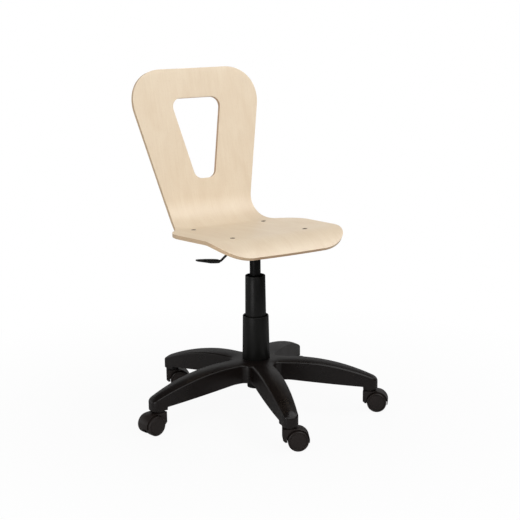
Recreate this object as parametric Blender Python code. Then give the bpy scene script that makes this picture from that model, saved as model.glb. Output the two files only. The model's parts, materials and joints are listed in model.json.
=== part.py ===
"""Swivel office chair: a one-piece bent plywood shell on a gas lift and a five-arm caster base.

Units are metres and +Z is up. The sitter faces -Y, so the release lever, on the sitter's right, is at -X.
The origin is on the floor at the middle of the chair's footprint. Every other place is measured from the
column's axis, which stands at COLUMN_X, COLUMN_Y.
"""

import math

import bmesh
import bpy
from mathutils import Matrix, Vector

# Frame and fits
COLUMN_X = 0.0255
COLUMN_Y = 0.0
GAP = 0.0003
ROUNDING = 1e-3

# Plywood shell, side view: the upright back, the bend, the flat of the seat and the nose that rolls down
PLY = 0.0102
SEAT_REAR = 0.1456
SEAT_TILT = math.radians(3.4)
SEAT_FLAT = 0.2245
BACK_LEAN = math.radians(13.1)
BACK_FLAT = 0.3414
BEND_RADIUS = 0.0815
NOSE_RADIUS = 0.1254
NOSE_TURN = math.radians(46.3)
DISH = 0.0070
DISH_HALF_WIDTH = 0.207

# Plywood shell, flat blank: half widths, and distances down the sheet from the top edge of the back
TOP_HALF_WIDTH = 0.2094
BACK_TAPER = math.radians(12.85)
WAIST_DOWN = 0.413
HIP_HALF_WIDTH = 0.1955
WAIST_TO_HIP = 0.0995
FRONT_HALF_WIDTH = 0.1852
TOP_CORNER_RADIUS = 0.0900
WAIST_RADIUS = 0.130
HIP_RADIUS = 0.110
FRONT_CORNER_RADIUS = 0.0859

# Cut-out in the back
CUTOUT_TOP = 0.0785
CUTOUT_BOTTOM = 0.2948
CUTOUT_TOP_HALF = 0.0771
CUTOUT_BOTTOM_HALF = 0.0290
CUTOUT_TOP_RADIUS = 0.0255
CUTOUT_BOTTOM_RADIUS = 0.0230

# Seat screws and nuts
BOLT_HALF_WIDTH = 0.1058
BOLT_REAR_MARGIN = 0.0173
BOLT_FRONT_MARGIN = 0.0092
BOLT_RADIUS = 0.003
BOLT_HEAD_RADIUS = 0.0054
BOLT_HEAD_HEIGHT = 0.003
BOLT_HEAD_SINK = 0.0004
BOLT_STICKS_OUT = 0.002
NUT_RADIUS = 0.0058
NUT_HEIGHT = 0.005

# Pressed steel plate under the seat
PLATE = 0.0025
PLATE_BORDER = 0.008
PLATE_CORNER_RADIUS = 0.012
PAN_HALF_WIDTH = 0.052
PAN_HALF_LENGTH = 0.062
PAN_DRAFT = 0.008
PAN_DEPTH = 0.039
PAN_CORNER_RADIUS = 0.018
PLATE_HOLE_REACH = 3.0 * PLATE

# Release lever
LEVER_RADIUS = 0.003
LEVER_OVERHANG = 0.008
ELBOW_OUT = 0.0202
KNEE_OUT = 0.0330
KNEE_DROP = 0.0258
LEVER_BEND_RADIUS = 0.010
LEVER_IN_PADDLE = 0.021
LEVER_PLAY = 0.00045
BUSH_WALL = 0.003
BUSH_TAIL = 0.004
BUSH_FLANGE = 0.0022
BUSH_FLANGE_THICK = 0.0015
PADDLE_LENGTH = 0.0645
PADDLE_HALF_WIDTH = 0.0112
PADDLE_WALL = 0.0012
PADDLE_RISE = math.radians(7.0)
PADDLE_EDGE = 0.3
# Blade sections as shares of its length, half width, and half height above and below
PADDLE_SECTIONS = [(0.0, 0.55, 0.9, -0.9), (0.12, 0.85, 1.0, -1.0), (0.44, 1.0, 1.0, -1.0),
                   (0.86, 0.80, 0.85, -0.10), (1.0, 0.45, 0.70, 0.10)]

# Gas spring
CYLINDER_RADIUS = 0.014
CYLINDER_WALL = 0.0024
CYLINDER_ABOVE_FLOOR = 0.0032
CYLINDER_CROWN = 0.024
TAPER_LENGTH = 0.0207
TAPER_INSET = 0.0009
POST_SHOWN = 0.0498
LIFT_DOWN = 0.0293
LIFT_UP = 0.106
PIN_RADIUS = 0.0035
PIN_LENGTH = 0.0144
PIN_PROUD = 0.0042
PIN_TRAVEL = 0.0045
ROD_RADIUS = 0.005
PISTON_HEIGHT = 0.012
GUIDE_HEIGHT = 0.012
GUIDE_INSET = 0.002
SOCKET_BELOW_FLOOR = 0.0140
SOCKET_WALL = 0.0052
SOCKET_COLLAR = 0.005
SOCKET_COLLAR_HEIGHT = 0.0035
SOCKET_ABOVE_FLOOR = 0.0035

# Standing tube with its bush, bearing and clip
TUBE_SHOWN = 0.1048
TUBE_FLARE = 0.0011
TUBE_FOOT_INSET = 0.0031
TUBE_WALL = 0.0022
TUBE_RIM_CHAMFER = 0.0008
TUBE_BELOW_HUB = 0.0260
TUBE_END = 0.004
BUSH_THICK = 0.0089
BUSH_RECESS = 0.008
BUSH_LENGTH = 0.080
WASHER_RADIUS = 0.015
WASHER_HEIGHT = 0.0015
CAGE_HEIGHT = 0.003
BUMP_RADIUS = 0.012
BUMP_HEIGHT = 0.017
BUMP_WAIST = 0.0015
CLIP_RADIUS = 0.009
CLIP_HEIGHT = 0.0015
ROD_END = 0.003

# Lower sleeve
COVER_SHOWN = 0.1141
COVER_CLEARANCE = 0.0040
COVER_FLARE = 0.0022
COVER_WALL = 0.0024
COVER_LIP = 0.0012
COVER_LIP_INSET = 0.0008
COVER_SEAT = 0.002

# Five-arm base
ARMS = 5
ARM_TURN = math.radians(-34.0)
STEM_CIRCLE = 0.2938
HUB_HEIGHT = 0.0508
ARM_CREST = 0.087
ARM_FALL = 0.0436
ARM_RISE = 0.0217
TIP_RADIUS = 0.0195
BOSS_HEIGHT = 0.0118
BOSS_INSET = 0.0012
ARM_WAIST_POWER = 2.6
ROOT_HALF_WIDTH = 0.0280
VALLEY_RADIUS = 0.0215
ARM_CROWN = 0.0038
CROWN_INSET = ROOT_HALF_WIDTH / 2.0
CROWN_RISE = ARM_CROWN * 0.75
TO_SPINE = STEM_CIRCLE
ARM_EDGE_RADIUS = 0.0035
ARM_WALL = 0.0042
ARM_ROOF = 0.0050
ARM_RIB = 0.0030
POCKET_INNER = 0.082
POCKETS = 3
STEM_ROOF = 0.0075
ARM_STEPS = 8
TIP_STEPS = 5

# Casters
WHEEL_RADIUS = 0.025
WHEEL_WIDTH = 0.0184
WHEEL_SIDES = 20
WHEEL_EDGE = 0.0014
WHEEL_RIM = 0.0035
WHEEL_DISH = 0.0008
WHEEL_SKIN = 0.0024
TRAIL = 0.0186
WHEEL_SIDE_PLAY = 0.0010
HOOD_HALF = 0.0170
HOOD_PLAY = 0.0007
HOOD_WALL = 0.0021
HOOD_TAIL = math.radians(-14.0)
NECK_THICK = 0.0101
NECK_DROP = 0.0045
NECK_CHAMFER = 0.0055
NECK_CORNER = 0.003
WEB_FOOT = 0.012
WEB_FOOT_CUT = math.radians(18.0)
STEM_RADIUS = 0.0055
STEM_SHOWS = 0.0003
STEM_COLLAR = 0.0088
STEM_COLLAR_HEIGHT = 0.0013
STEM_SEAT = 0.0155
AXLE_RADIUS = 0.003
AXLE_TRAILS = [math.radians(turn) for turn in (-40.0, -38.0, -27.0, 191.0, -28.5)]

# How finely round shapes are cut
DISH_STRIPS = 8
BACK_STRIPS = 5
BEND_STRIPS = 9
SEAT_STRIPS = 4
NOSE_STRIPS = 5
ROUND = 22
SMALL_ROUND = 14
FINE_ROUND = 12
ARC_STEP = math.radians(11.0)
COARSE_STEP = math.radians(18.0)

# Widths, from the gas spring outwards
TAPER_TOP_RADIUS = CYLINDER_RADIUS - TAPER_INSET
TUBE_TOP_RADIUS = CYLINDER_RADIUS + BUSH_THICK + TUBE_WALL + 2.0 * GAP
TUBE_COVER_RADIUS = TUBE_TOP_RADIUS + TUBE_FLARE
TUBE_FOOT_RADIUS = TUBE_COVER_RADIUS - TUBE_FOOT_INSET
COVER_TOP_RADIUS = TUBE_COVER_RADIUS + COVER_CLEARANCE + COVER_WALL
COVER_FOOT_RADIUS = COVER_TOP_RADIUS + COVER_FLARE
BOSS_RADIUS = TIP_RADIUS - BOSS_INSET
PADDLE_HALF_HEIGHT = LEVER_RADIUS + PADDLE_WALL

# Heights, from the floor up: the wheels carry the base, the base the column and the column the seat
HOOD_INNER = WHEEL_RADIUS / math.cos(math.pi / WHEEL_SIDES) + HOOD_PLAY
HOOD_OUTER = HOOD_INNER + HOOD_WALL
HOOD_TOP = WHEEL_RADIUS + HOOD_OUTER
BOSS_BOTTOM = HOOD_TOP + STEM_COLLAR_HEIGHT + 2.0 * GAP
TIP_BOTTOM = BOSS_BOTTOM + BOSS_HEIGHT
HUB_BOTTOM = TIP_BOTTOM + ARM_RISE
HUB_TOP = HUB_BOTTOM + HUB_HEIGHT
COVER_TOP = HUB_TOP + COVER_SHOWN
TUBE_BOTTOM = HUB_BOTTOM - TUBE_BELOW_HUB
TUBE_TOP = COVER_TOP + TUBE_SHOWN
BEARING_BOTTOM = TUBE_BOTTOM + TUBE_END + GAP
BUMP_TOP = BEARING_BOTTOM + 2.0 * WASHER_HEIGHT + CAGE_HEIGHT + BUMP_HEIGHT + 3.0 * GAP
CYLINDER_BOTTOM = BUMP_TOP + LIFT_DOWN
PISTON_BOTTOM = CYLINDER_BOTTOM + GUIDE_INSET + GUIDE_HEIGHT + LIFT_UP
SOCKET_BOTTOM = TUBE_TOP + POST_SHOWN
FLOOR_TOP = SOCKET_BOTTOM + SOCKET_BELOW_FLOOR
CYLINDER_TOP = FLOOR_TOP + CYLINDER_ABOVE_FLOOR
TAPER_START = CYLINDER_TOP - TAPER_LENGTH
PIN_TOP = CYLINDER_TOP + PIN_PROUD
LEVER_HEIGHT = PIN_TOP + GAP + LEVER_RADIUS
FLANGE_HEIGHT = FLOOR_TOP + PAN_DEPTH
SEAT_TOP = FLANGE_HEIGHT + (GAP + PLY + DISH) * math.cos(SEAT_TILT)


def clear_scene():
    for item in list(bpy.data.objects):
        bpy.data.objects.remove(item, do_unlink=True)


def make_material(name, colour, roughness, metallic=0.0):
    material = bpy.data.materials.new(name)
    material.use_nodes = True
    shader = material.node_tree.nodes["Principled BSDF"]
    shader.inputs["Base Color"].default_value = (*colour, 1.0)
    shader.inputs["Roughness"].default_value = roughness
    shader.inputs["Metallic"].default_value = metallic
    return material


def make_empty(name, place, parent=None, turn=(0.0, 0.0, 0.0)):
    empty = bpy.data.objects.new(name, None)
    empty.location = place
    empty.rotation_euler = turn
    empty.parent = parent
    bpy.context.scene.collection.objects.link(empty)
    return empty


def make_mesh(name, bm):
    bmesh.ops.remove_doubles(bm, verts=bm.verts, dist=1e-6)
    bmesh.ops.recalc_face_normals(bm, faces=bm.faces)
    mesh = bpy.data.meshes.new(name)
    bm.to_mesh(mesh)
    bm.free()
    mesh.shade_smooth()
    mesh.set_sharp_from_angle(angle=math.radians(35.0))
    return mesh


def make_piece(name, shape, material, parent, place=(0.0, 0.0, 0.0), turn=(0.0, 0.0, 0.0)):
    """One named object from a bmesh, or from a mesh that several pieces share."""
    mesh = shape if isinstance(shape, bpy.types.Mesh) else make_mesh(name, shape)
    piece = bpy.data.objects.new(name, mesh)
    piece.location = place
    piece.rotation_euler = turn
    piece.parent = parent
    if not mesh.materials:
        mesh.materials.append(material)
    bpy.context.scene.collection.objects.link(piece)
    return piece


def combine(bm, tool, operation="DIFFERENCE"):
    """The Boolean of two closed shapes that share one frame."""
    held = make_piece("held", make_mesh("held", bm), None, None)
    cutter = make_piece("cutter", make_mesh("cutter", tool), None, None)
    cutter.hide_render = True
    cutter.display_type = "WIRE"
    step = held.modifiers.new("cut", "BOOLEAN")
    step.object = cutter
    step.operation = operation
    step.solver = "EXACT"
    graph = bpy.context.evaluated_depsgraph_get()
    mesh = bpy.data.meshes.new_from_object(held.evaluated_get(graph))
    result = bmesh.new()
    result.from_mesh(mesh)
    for item in (held, cutter):
        bpy.data.objects.remove(item, do_unlink=True)
    bpy.data.meshes.remove(mesh)
    return result


def merged(shapes):
    """Several bmeshes in one, as a cutter made of separate bodies."""
    whole = bmesh.new()
    for shape in shapes:
        mesh = make_mesh("part", shape)
        whole.from_mesh(mesh)
        bpy.data.meshes.remove(mesh)
    return whole


def moved(bm, matrix):
    bmesh.ops.transform(bm, matrix=matrix, verts=bm.verts)
    return bm


def arc(centre, radius, start, end, pace=ARC_STEP):
    """Points along an arc in the plane, both ends included."""
    steps = max(2, math.ceil(abs(end - start) / pace - ROUNDING))
    turns = [start + (end - start) * step / steps for step in range(steps + 1)]
    return [Vector((centre[0] + radius * math.cos(a), centre[1] + radius * math.sin(a))) for a in turns]


def rounded(corners, radii, closed=True, pace=ARC_STEP):
    """A path through corners in the plane, each corner replaced by an arc of its own radius."""
    corners = [Vector(corner) for corner in corners]
    count = len(corners)
    path = []
    for index, (corner, radius) in enumerate(zip(corners, radii)):
        at_end = index in (0, count - 1)
        if radius == 0.0 or (at_end and not closed):
            path.append(corner)
            continue
        back = (corners[index - 1] - corner).normalized()
        ahead = (corners[(index + 1) % count] - corner).normalized()
        half = back.angle(ahead) / 2.0
        centre = corner + (back + ahead).normalized() * radius / math.sin(half)
        first = corner + back * radius / math.tan(half) - centre
        last = corner + ahead * radius / math.tan(half) - centre
        start = math.atan2(first.y, first.x)
        sweep = (math.atan2(last.y, last.x) - start + math.pi) % (2.0 * math.pi) - math.pi
        path.extend(arc(centre, radius, start, start + sweep, pace))
    return path


def prism(outline, low, high):
    """A flat outline in X and Y, extruded along Z."""
    bm = bmesh.new()
    face = bm.faces.new([bm.verts.new((point[0], point[1], low)) for point in outline])
    grown = bmesh.ops.extrude_face_region(bm, geom=[face])["geom"]
    tops = [item for item in grown if isinstance(item, bmesh.types.BMVert)]
    bmesh.ops.translate(bm, verts=tops, vec=(0.0, 0.0, high - low))
    return bm


def turned(profile, sides=ROUND, phase=0.0):
    """A turned shape about Z from (radius, height) points; a profile off the axis closes into a ring."""
    bm = bmesh.new()
    verts = [bm.verts.new((radius, 0.0, height)) for radius, height in profile]
    edges = [bm.edges.new(pair) for pair in zip(verts, verts[1:])]
    if profile[0][0] > 0.0:
        edges.append(bm.edges.new((verts[-1], verts[0])))
    bmesh.ops.rotate(bm, verts=verts, cent=(0.0, 0.0, 0.0), matrix=Matrix.Rotation(phase, 3, "Z"))
    bmesh.ops.spin(bm, geom=verts + edges, cent=(0.0, 0.0, 0.0), axis=(0.0, 0.0, 1.0),
                   angle=2.0 * math.pi, steps=sides, use_merge=True)
    bmesh.ops.remove_doubles(bm, verts=bm.verts, dist=1e-6)
    return bm


def ring(inner, outer, low, high, sides=ROUND):
    return turned([(inner, low), (inner, high), (outer, high), (outer, low)], sides)


def rod(radius, low, high, sides=SMALL_ROUND):
    return turned([(0.0, low), (radius, low), (radius, high), (0.0, high)], sides)


def skin(loops, closed=False):
    """Walls between loops of equally many points, with caps at both ends unless it closes on itself."""
    bm = bmesh.new()
    rows = [[bm.verts.new(point) for point in loop] for loop in loops]
    count = len(rows[0])
    pairs = list(zip(rows, rows[1:]))
    if closed:
        pairs.append((rows[-1], rows[0]))
    for low, high in pairs:
        for index in range(count):
            after = (index + 1) % count
            bm.faces.new((low[index], low[after], high[after], high[index]))
    if not closed:
        bm.faces.new(rows[0])
        bm.faces.new(rows[-1])
    return bm


def stations(start, end, count):
    """Evenly spaced values after start, up to and including end."""
    return [start + (end - start) * step / count for step in range(1, count + 1)]


# The shell is cut as a flat blank, then pressed to shape: x across, down the sheet, depth into the ply
BEND_TURN = math.pi / 2.0 - (BACK_LEAN - SEAT_TILT)
BEND_END = BACK_FLAT + BEND_RADIUS * BEND_TURN
NOSE_START = BEND_END + SEAT_FLAT
SHEET_LENGTH = NOSE_START + NOSE_RADIUS * NOSE_TURN
BOLT_HALF_DEPTH = (SEAT_FLAT - BOLT_REAR_MARGIN - BOLT_FRONT_MARGIN) / 2.0
BOLT_MIDDLE = BOLT_REAR_MARGIN + BOLT_HALF_DEPTH


def shell_side(down):
    """The face of the shell in side view, as (y, z), and the normal that points into the ply."""
    forward = Vector((-math.cos(SEAT_TILT), math.sin(SEAT_TILT)))
    under = Vector((-math.sin(SEAT_TILT), -math.cos(SEAT_TILT)))
    upward = Vector((math.sin(BACK_LEAN), math.cos(BACK_LEAN)))
    behind = Vector((math.cos(BACK_LEAN), -math.sin(BACK_LEAN)))
    heel = Vector((SEAT_REAR, SEAT_TOP - SEAT_REAR * math.tan(SEAT_TILT)))
    bend_centre = heel - under * BEND_RADIUS
    if down <= BACK_FLAT:
        return bend_centre + behind * BEND_RADIUS + upward * (BACK_FLAT - down), behind
    if down <= BEND_END:
        angle = (down - BACK_FLAT) / BEND_RADIUS
        normal = behind * math.cos(angle) - upward * math.sin(angle)
        return bend_centre + normal * BEND_RADIUS, normal
    if down <= NOSE_START:
        return heel + forward * (down - BEND_END), under
    angle = (down - NOSE_START) / NOSE_RADIUS
    normal = under * math.cos(angle) - forward * math.sin(angle)
    nose_centre = heel + forward * SEAT_FLAT + under * NOSE_RADIUS
    return nose_centre - normal * NOSE_RADIUS, normal


def dish_lift(across):
    """How far the dished sheet rises from its middle line at a distance to the side."""
    return DISH * (across / DISH_HALF_WIDTH) ** 2


def shell_point(across, down, depth):
    """Where a point of the flat blank lies once the blank is pressed; the dish runs the full length."""
    side, normal = shell_side(down)
    side = side + normal * (depth + DISH - dish_lift(across))
    return Vector((across, side.x, side.y))


def slice_across(bm):
    """Cuts along the sheet, so that it can follow the dish."""
    for across in stations(-HIP_HALF_WIDTH, HIP_HALF_WIDTH, DISH_STRIPS)[:-1]:
        slice_at(bm, (across, 0.0, 0.0), (1.0, 0.0, 0.0))


def slice_at(bm, place, normal):
    every = bm.verts[:] + bm.edges[:] + bm.faces[:]
    bmesh.ops.bisect_plane(bm, geom=every, dist=1e-7, plane_co=place, plane_no=normal)


def blank_outline():
    waist = TOP_HALF_WIDTH - math.tan(BACK_TAPER) * WAIST_DOWN
    half = [(TOP_HALF_WIDTH, 0.0), (waist, WAIST_DOWN), (HIP_HALF_WIDTH, WAIST_DOWN + WAIST_TO_HIP),
            (FRONT_HALF_WIDTH, SHEET_LENGTH)]
    radii = [TOP_CORNER_RADIUS, WAIST_RADIUS, HIP_RADIUS, FRONT_CORNER_RADIUS]
    mirrored = [(-across, down) for across, down in reversed(half)]
    return rounded(half + mirrored, radii + radii[::-1])


def bolt_places():
    """The four screws as (across, down) on the blank: sitter's right then left, rear before front."""
    middle = BEND_END + BOLT_MIDDLE
    return [(side * BOLT_HALF_WIDTH, middle + row * BOLT_HALF_DEPTH) for side in (-1, 1) for row in (-1, 1)]


def seat_shell():
    bm = prism(blank_outline(), 0.0, PLY)
    slice_across(bm)
    downs = stations(0.0, BACK_FLAT, BACK_STRIPS) + stations(BACK_FLAT, BEND_END, BEND_STRIPS)
    downs += stations(BEND_END, NOSE_START, SEAT_STRIPS)
    downs += stations(NOSE_START, SHEET_LENGTH, NOSE_STRIPS)[:-1]
    for down in downs:
        slice_at(bm, (0.0, down, 0.0), (0.0, 1.0, 0.0))
    corners = [(CUTOUT_TOP_HALF, CUTOUT_TOP), (CUTOUT_BOTTOM_HALF, CUTOUT_BOTTOM),
               (-CUTOUT_BOTTOM_HALF, CUTOUT_BOTTOM), (-CUTOUT_TOP_HALF, CUTOUT_TOP)]
    radii = [CUTOUT_TOP_RADIUS, CUTOUT_BOTTOM_RADIUS, CUTOUT_BOTTOM_RADIUS, CUTOUT_TOP_RADIUS]
    holes = [prism(rounded(corners, radii), -PLY, 2.0 * PLY)]
    for across, down in bolt_places():
        head = BOLT_HEAD_RADIUS + GAP
        hole = turned([(0.0, -PLY), (head, -PLY), (head, BOLT_HEAD_SINK),
                       (BOLT_RADIUS + GAP, BOLT_HEAD_SINK + BOLT_HEAD_HEIGHT + GAP),
                       (BOLT_RADIUS + GAP, 2.0 * PLY), (0.0, 2.0 * PLY)], SMALL_ROUND)
        holes.append(moved(hole, Matrix.Translation((across, down, 0.0))))
    bm = combine(bm, merged(holes))
    bmesh.ops.triangulate(bm, faces=bm.faces)
    for vert in bm.verts:
        vert.co = shell_point(*vert.co)
    return bm


# The plate's own frame: its flange lies flat under the seat and its pan is square to the column
PLATE_DOWN = BEND_END + SEAT_REAR / math.cos(SEAT_TILT)
PLATE_PLACE = shell_point(0.0, PLATE_DOWN, PLY + GAP)
TO_PLATE = (Matrix.Translation(PLATE_PLACE) @ Matrix.Rotation(-SEAT_TILT, 4, "X")).inverted()
BOLT_ROW_MIDDLE = PLATE_DOWN - BEND_END - BOLT_MIDDLE
PAN_MIDDLE = (TO_PLATE @ Vector((0.0, 0.0, FLOOR_TOP))).y
PIVOT_X = -(PAN_HALF_WIDTH - PAN_DRAFT * (FLANGE_HEIGHT - LEVER_HEIGHT) / PAN_DEPTH + PLATE / 2.0)


def bolt_tops():
    """Screw places in the plate's frame, on the top face of the seat."""
    return [TO_PLATE @ shell_point(across, down, 0.0) for across, down in bolt_places()]


def seat_bolt():
    head_top = -BOLT_HEAD_SINK
    head_low = head_top - BOLT_HEAD_HEIGHT
    to_flange = max(top.z for top in bolt_tops()) - dish_lift(BOLT_HALF_WIDTH)
    end = -to_flange - PLATE - GAP - NUT_HEIGHT - BOLT_STICKS_OUT
    return turned([(0.0, end), (BOLT_RADIUS, end), (BOLT_RADIUS, head_low), (BOLT_HEAD_RADIUS, head_top),
                   (0.0, head_top)], SMALL_ROUND)


def seat_nut():
    low = -PLATE - GAP - NUT_HEIGHT
    hexagon = rod(NUT_RADIUS, low, low + NUT_HEIGHT, 6)
    return combine(hexagon, rod(BOLT_RADIUS + GAP, low - NUT_HEIGHT, low + 2.0 * NUT_HEIGHT, FINE_ROUND))


def rounded_rectangle(half_x, half_y, radius, middle_y):
    corners = [(half_x, half_y), (-half_x, half_y), (-half_x, -half_y), (half_x, -half_y)]
    return [(point.x, point.y + middle_y) for point in rounded(corners, [radius] * 4, pace=COARSE_STEP)]


def seat_plate():
    """A pressed pan: one sheet followed up its inside, over the flange and back down its outside."""
    flange = rounded_rectangle(BOLT_HALF_WIDTH + PLATE_BORDER, BOLT_HALF_DEPTH + PLATE_BORDER,
                               PLATE_CORNER_RADIUS, BOLT_ROW_MIDDLE)
    hole_radius = SOCKET_OUTER + GAP
    points = len(flange)
    hole = [(hole_radius * math.cos(turn), PAN_MIDDLE + hole_radius * math.sin(turn))
            for turn in ((k + 0.5) * 2.0 * math.pi / points for k in range(points))]

    def pan(shrink, grow):
        return rounded_rectangle(PAN_HALF_WIDTH - shrink + grow, PAN_HALF_LENGTH - shrink + grow,
                                 PAN_CORNER_RADIUS, PAN_MIDDLE)

    def level(loop, height):
        return [(x, y, height) for x, y in loop]

    def floor(loop, lower):
        low = -PAN_DEPTH - lower
        return [(x, y, (low + y * math.sin(SEAT_TILT)) / math.cos(SEAT_TILT)) for x, y in loop]

    inside = [floor(hole, 0.0), floor(pan(PAN_DRAFT, 0.0), 0.0),
              level(pan(0.0, 0.0), 0.0), level(flange, 0.0)]
    outside = [level(flange, -PLATE), level(pan(0.0, PLATE), -PLATE),
               floor(pan(PAN_DRAFT, PLATE), PLATE), floor(hole, PLATE)]
    bm = skin(inside + outside, closed=True)
    slice_across(bm)
    for vert in bm.verts:
        vert.co.z += dish_lift(vert.co.x) * max(0.0, 1.0 + vert.co.z / PAN_DEPTH)
    bmesh.ops.triangulate(bm, faces=bm.faces)
    holes = []
    for top in bolt_tops():
        bolt_hole = rod(BOLT_RADIUS + GAP, -PLATE_HOLE_REACH, PLATE_HOLE_REACH, FINE_ROUND)
        holes.append(moved(bolt_hole, Matrix.Translation((top.x, top.y, 0.0))))
    bush_hole = rod(LEVER_RADIUS + LEVER_PLAY + BUSH_WALL + GAP, -PAN_DRAFT, PAN_DRAFT)
    to_lever = Matrix.Translation((PIVOT_X, 0.0, LEVER_HEIGHT)) @ Matrix.Rotation(math.pi / 2.0, 4, "Y")
    holes.append(moved(bush_hole, TO_PLATE @ to_lever))
    return combine(bm, merged(holes))


# The top of the cylinder is a cone, and the socket's bore follows it
def taper_radius(height):
    share = (height - TAPER_START) / (CYLINDER_TOP - TAPER_START)
    return CYLINDER_RADIUS + (TAPER_TOP_RADIUS - CYLINDER_RADIUS) * max(0.0, share)


SOCKET_OUTER = CYLINDER_RADIUS + GAP + SOCKET_WALL
SOCKET_TOP = FLOOR_TOP + SOCKET_ABOVE_FLOOR


def taper_socket():
    collar_top = FLOOR_TOP - PLATE - GAP
    collar_low = collar_top - SOCKET_COLLAR_HEIGHT
    collar = SOCKET_OUTER + SOCKET_COLLAR
    bore_low = taper_radius(SOCKET_BOTTOM) + GAP
    bore_top = taper_radius(SOCKET_TOP) + GAP
    return turned([(bore_low, SOCKET_BOTTOM), (bore_top, SOCKET_TOP), (SOCKET_OUTER, SOCKET_TOP),
                   (SOCKET_OUTER, collar_top), (collar, collar_top), (collar, collar_low),
                   (SOCKET_OUTER, collar_low), (SOCKET_OUTER, SOCKET_BOTTOM)])


def tube_along(path, radius, sides):
    """A round bar along points in the XZ plane."""
    loops = []
    for index, point in enumerate(path):
        before = path[max(0, index - 1)]
        after = path[min(len(path) - 1, index + 1)]
        run = (after - before).normalized()
        across = Vector((-run.y, run.x))
        turns = [2.0 * math.pi * k / sides for k in range(sides)]
        loops.append([(point.x + across.x * radius * math.cos(a), radius * math.sin(a),
                       point.y + across.y * radius * math.cos(a)) for a in turns])
    return skin(loops)


# Lever corners in its own plane, measured from the pivot: x outwards is negative, y is height
PADDLE_RUN = Vector((-math.cos(PADDLE_RISE), math.sin(PADDLE_RISE)))
ELBOW = Vector((-ELBOW_OUT, 0.0))
KNEE = ELBOW - Vector((KNEE_OUT, KNEE_DROP))
KNEE_TURN = (KNEE - ELBOW).angle(PADDLE_RUN)
PADDLE_START = KNEE + PADDLE_RUN * (LEVER_BEND_RADIUS * math.tan(KNEE_TURN / 2.0))


def lever_rod():
    inner_end = Vector((LEVER_OVERHANG - PIVOT_X, 0.0))
    outer_end = PADDLE_START + PADDLE_RUN * LEVER_IN_PADDLE
    radii = [0.0, LEVER_BEND_RADIUS, LEVER_BEND_RADIUS, 0.0]
    path = rounded([inner_end, ELBOW, KNEE, outer_end], radii, closed=False)
    return tube_along(path, LEVER_RADIUS, FINE_ROUND)


def lever_bush():
    """A flanged bush about X; its flange stands clear of the sloping wall of the pan, on the inside."""
    inner = LEVER_RADIUS + LEVER_PLAY
    outer = inner + BUSH_WALL
    flange = outer + BUSH_FLANGE
    slope = PAN_DRAFT / PAN_DEPTH
    face = PLATE * math.hypot(1.0, slope) / 2.0 + flange * slope + GAP
    bm = turned([(inner, -BUSH_TAIL), (inner, face + BUSH_FLANGE_THICK), (flange, face + BUSH_FLANGE_THICK),
                 (flange, face), (outer, face), (outer, -BUSH_TAIL)], SMALL_ROUND)
    return moved(bm, Matrix.Rotation(math.pi / 2.0, 4, "Y"))


def lever_paddle():
    """A moulded blade in sections along its length: full over the rod, thin and narrow at the tip."""
    loops = []
    for along, wide, top, low in PADDLE_SECTIONS:
        half = PADDLE_HALF_WIDTH * wide
        high = PADDLE_HALF_HEIGHT * top
        base = PADDLE_HALF_HEIGHT * low
        edge = (high - base) * PADDLE_EDGE
        corners = [(half, high), (-half, high), (-half, base), (half, base)]
        shape = rounded(corners, [edge] * 4, pace=COARSE_STEP)
        loops.append([(-PADDLE_LENGTH * along, point.x, point.y) for point in shape])
    bm = skin(loops)
    bore = rod(LEVER_RADIUS + GAP, -LEVER_IN_PADDLE, LEVER_IN_PADDLE + GAP, FINE_ROUND)
    bm = combine(bm, moved(bore, Matrix.Rotation(-math.pi / 2.0, 4, "Y")))
    return moved(bm, Matrix.Rotation(PADDLE_RISE, 4, "Y"))


def release_pin():
    return rod(PIN_RADIUS, PIN_TOP - PIN_LENGTH, PIN_TOP)


def gas_cylinder():
    bore = CYLINDER_RADIUS - CYLINDER_WALL
    pin_floor = PIN_TOP - PIN_LENGTH - PIN_TRAVEL
    pin_hole = PIN_RADIUS + GAP
    crown = CYLINDER_TOP - CYLINDER_CROWN
    return turned([(0.0, crown), (bore, crown), (bore, CYLINDER_BOTTOM), (CYLINDER_RADIUS, CYLINDER_BOTTOM),
                   (CYLINDER_RADIUS, TAPER_START), (TAPER_TOP_RADIUS, CYLINDER_TOP),
                   (pin_hole, CYLINDER_TOP), (pin_hole, pin_floor), (0.0, pin_floor)])


def rod_guide():
    low = CYLINDER_BOTTOM + GUIDE_INSET
    outer = CYLINDER_RADIUS - CYLINDER_WALL - GAP
    return ring(ROD_RADIUS + GAP, outer, low, low + GUIDE_HEIGHT, SMALL_ROUND)


def piston_rod():
    low = TUBE_BOTTOM - CLIP_HEIGHT - ROD_END
    piston = CYLINDER_RADIUS - CYLINDER_WALL - GAP
    top = PISTON_BOTTOM + PISTON_HEIGHT
    return turned([(0.0, low), (ROD_RADIUS, low), (ROD_RADIUS, PISTON_BOTTOM), (piston, PISTON_BOTTOM),
                   (piston, top), (0.0, top)], SMALL_ROUND)


# The standing tube widens a little to the sleeve, and its foot is a cone that the hub's bore follows
def tube_radius(height):
    if height >= COVER_TOP:
        share = (TUBE_TOP - height) / (TUBE_TOP - COVER_TOP)
        return TUBE_TOP_RADIUS + (TUBE_COVER_RADIUS - TUBE_TOP_RADIUS) * share
    if height >= HUB_TOP:
        return TUBE_COVER_RADIUS
    share = (HUB_TOP - height) / (HUB_TOP - TUBE_BOTTOM)
    return TUBE_COVER_RADIUS + (TUBE_FOOT_RADIUS - TUBE_COVER_RADIUS) * share


TUBE_BORE = TUBE_TOP_RADIUS - TUBE_WALL


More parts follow.
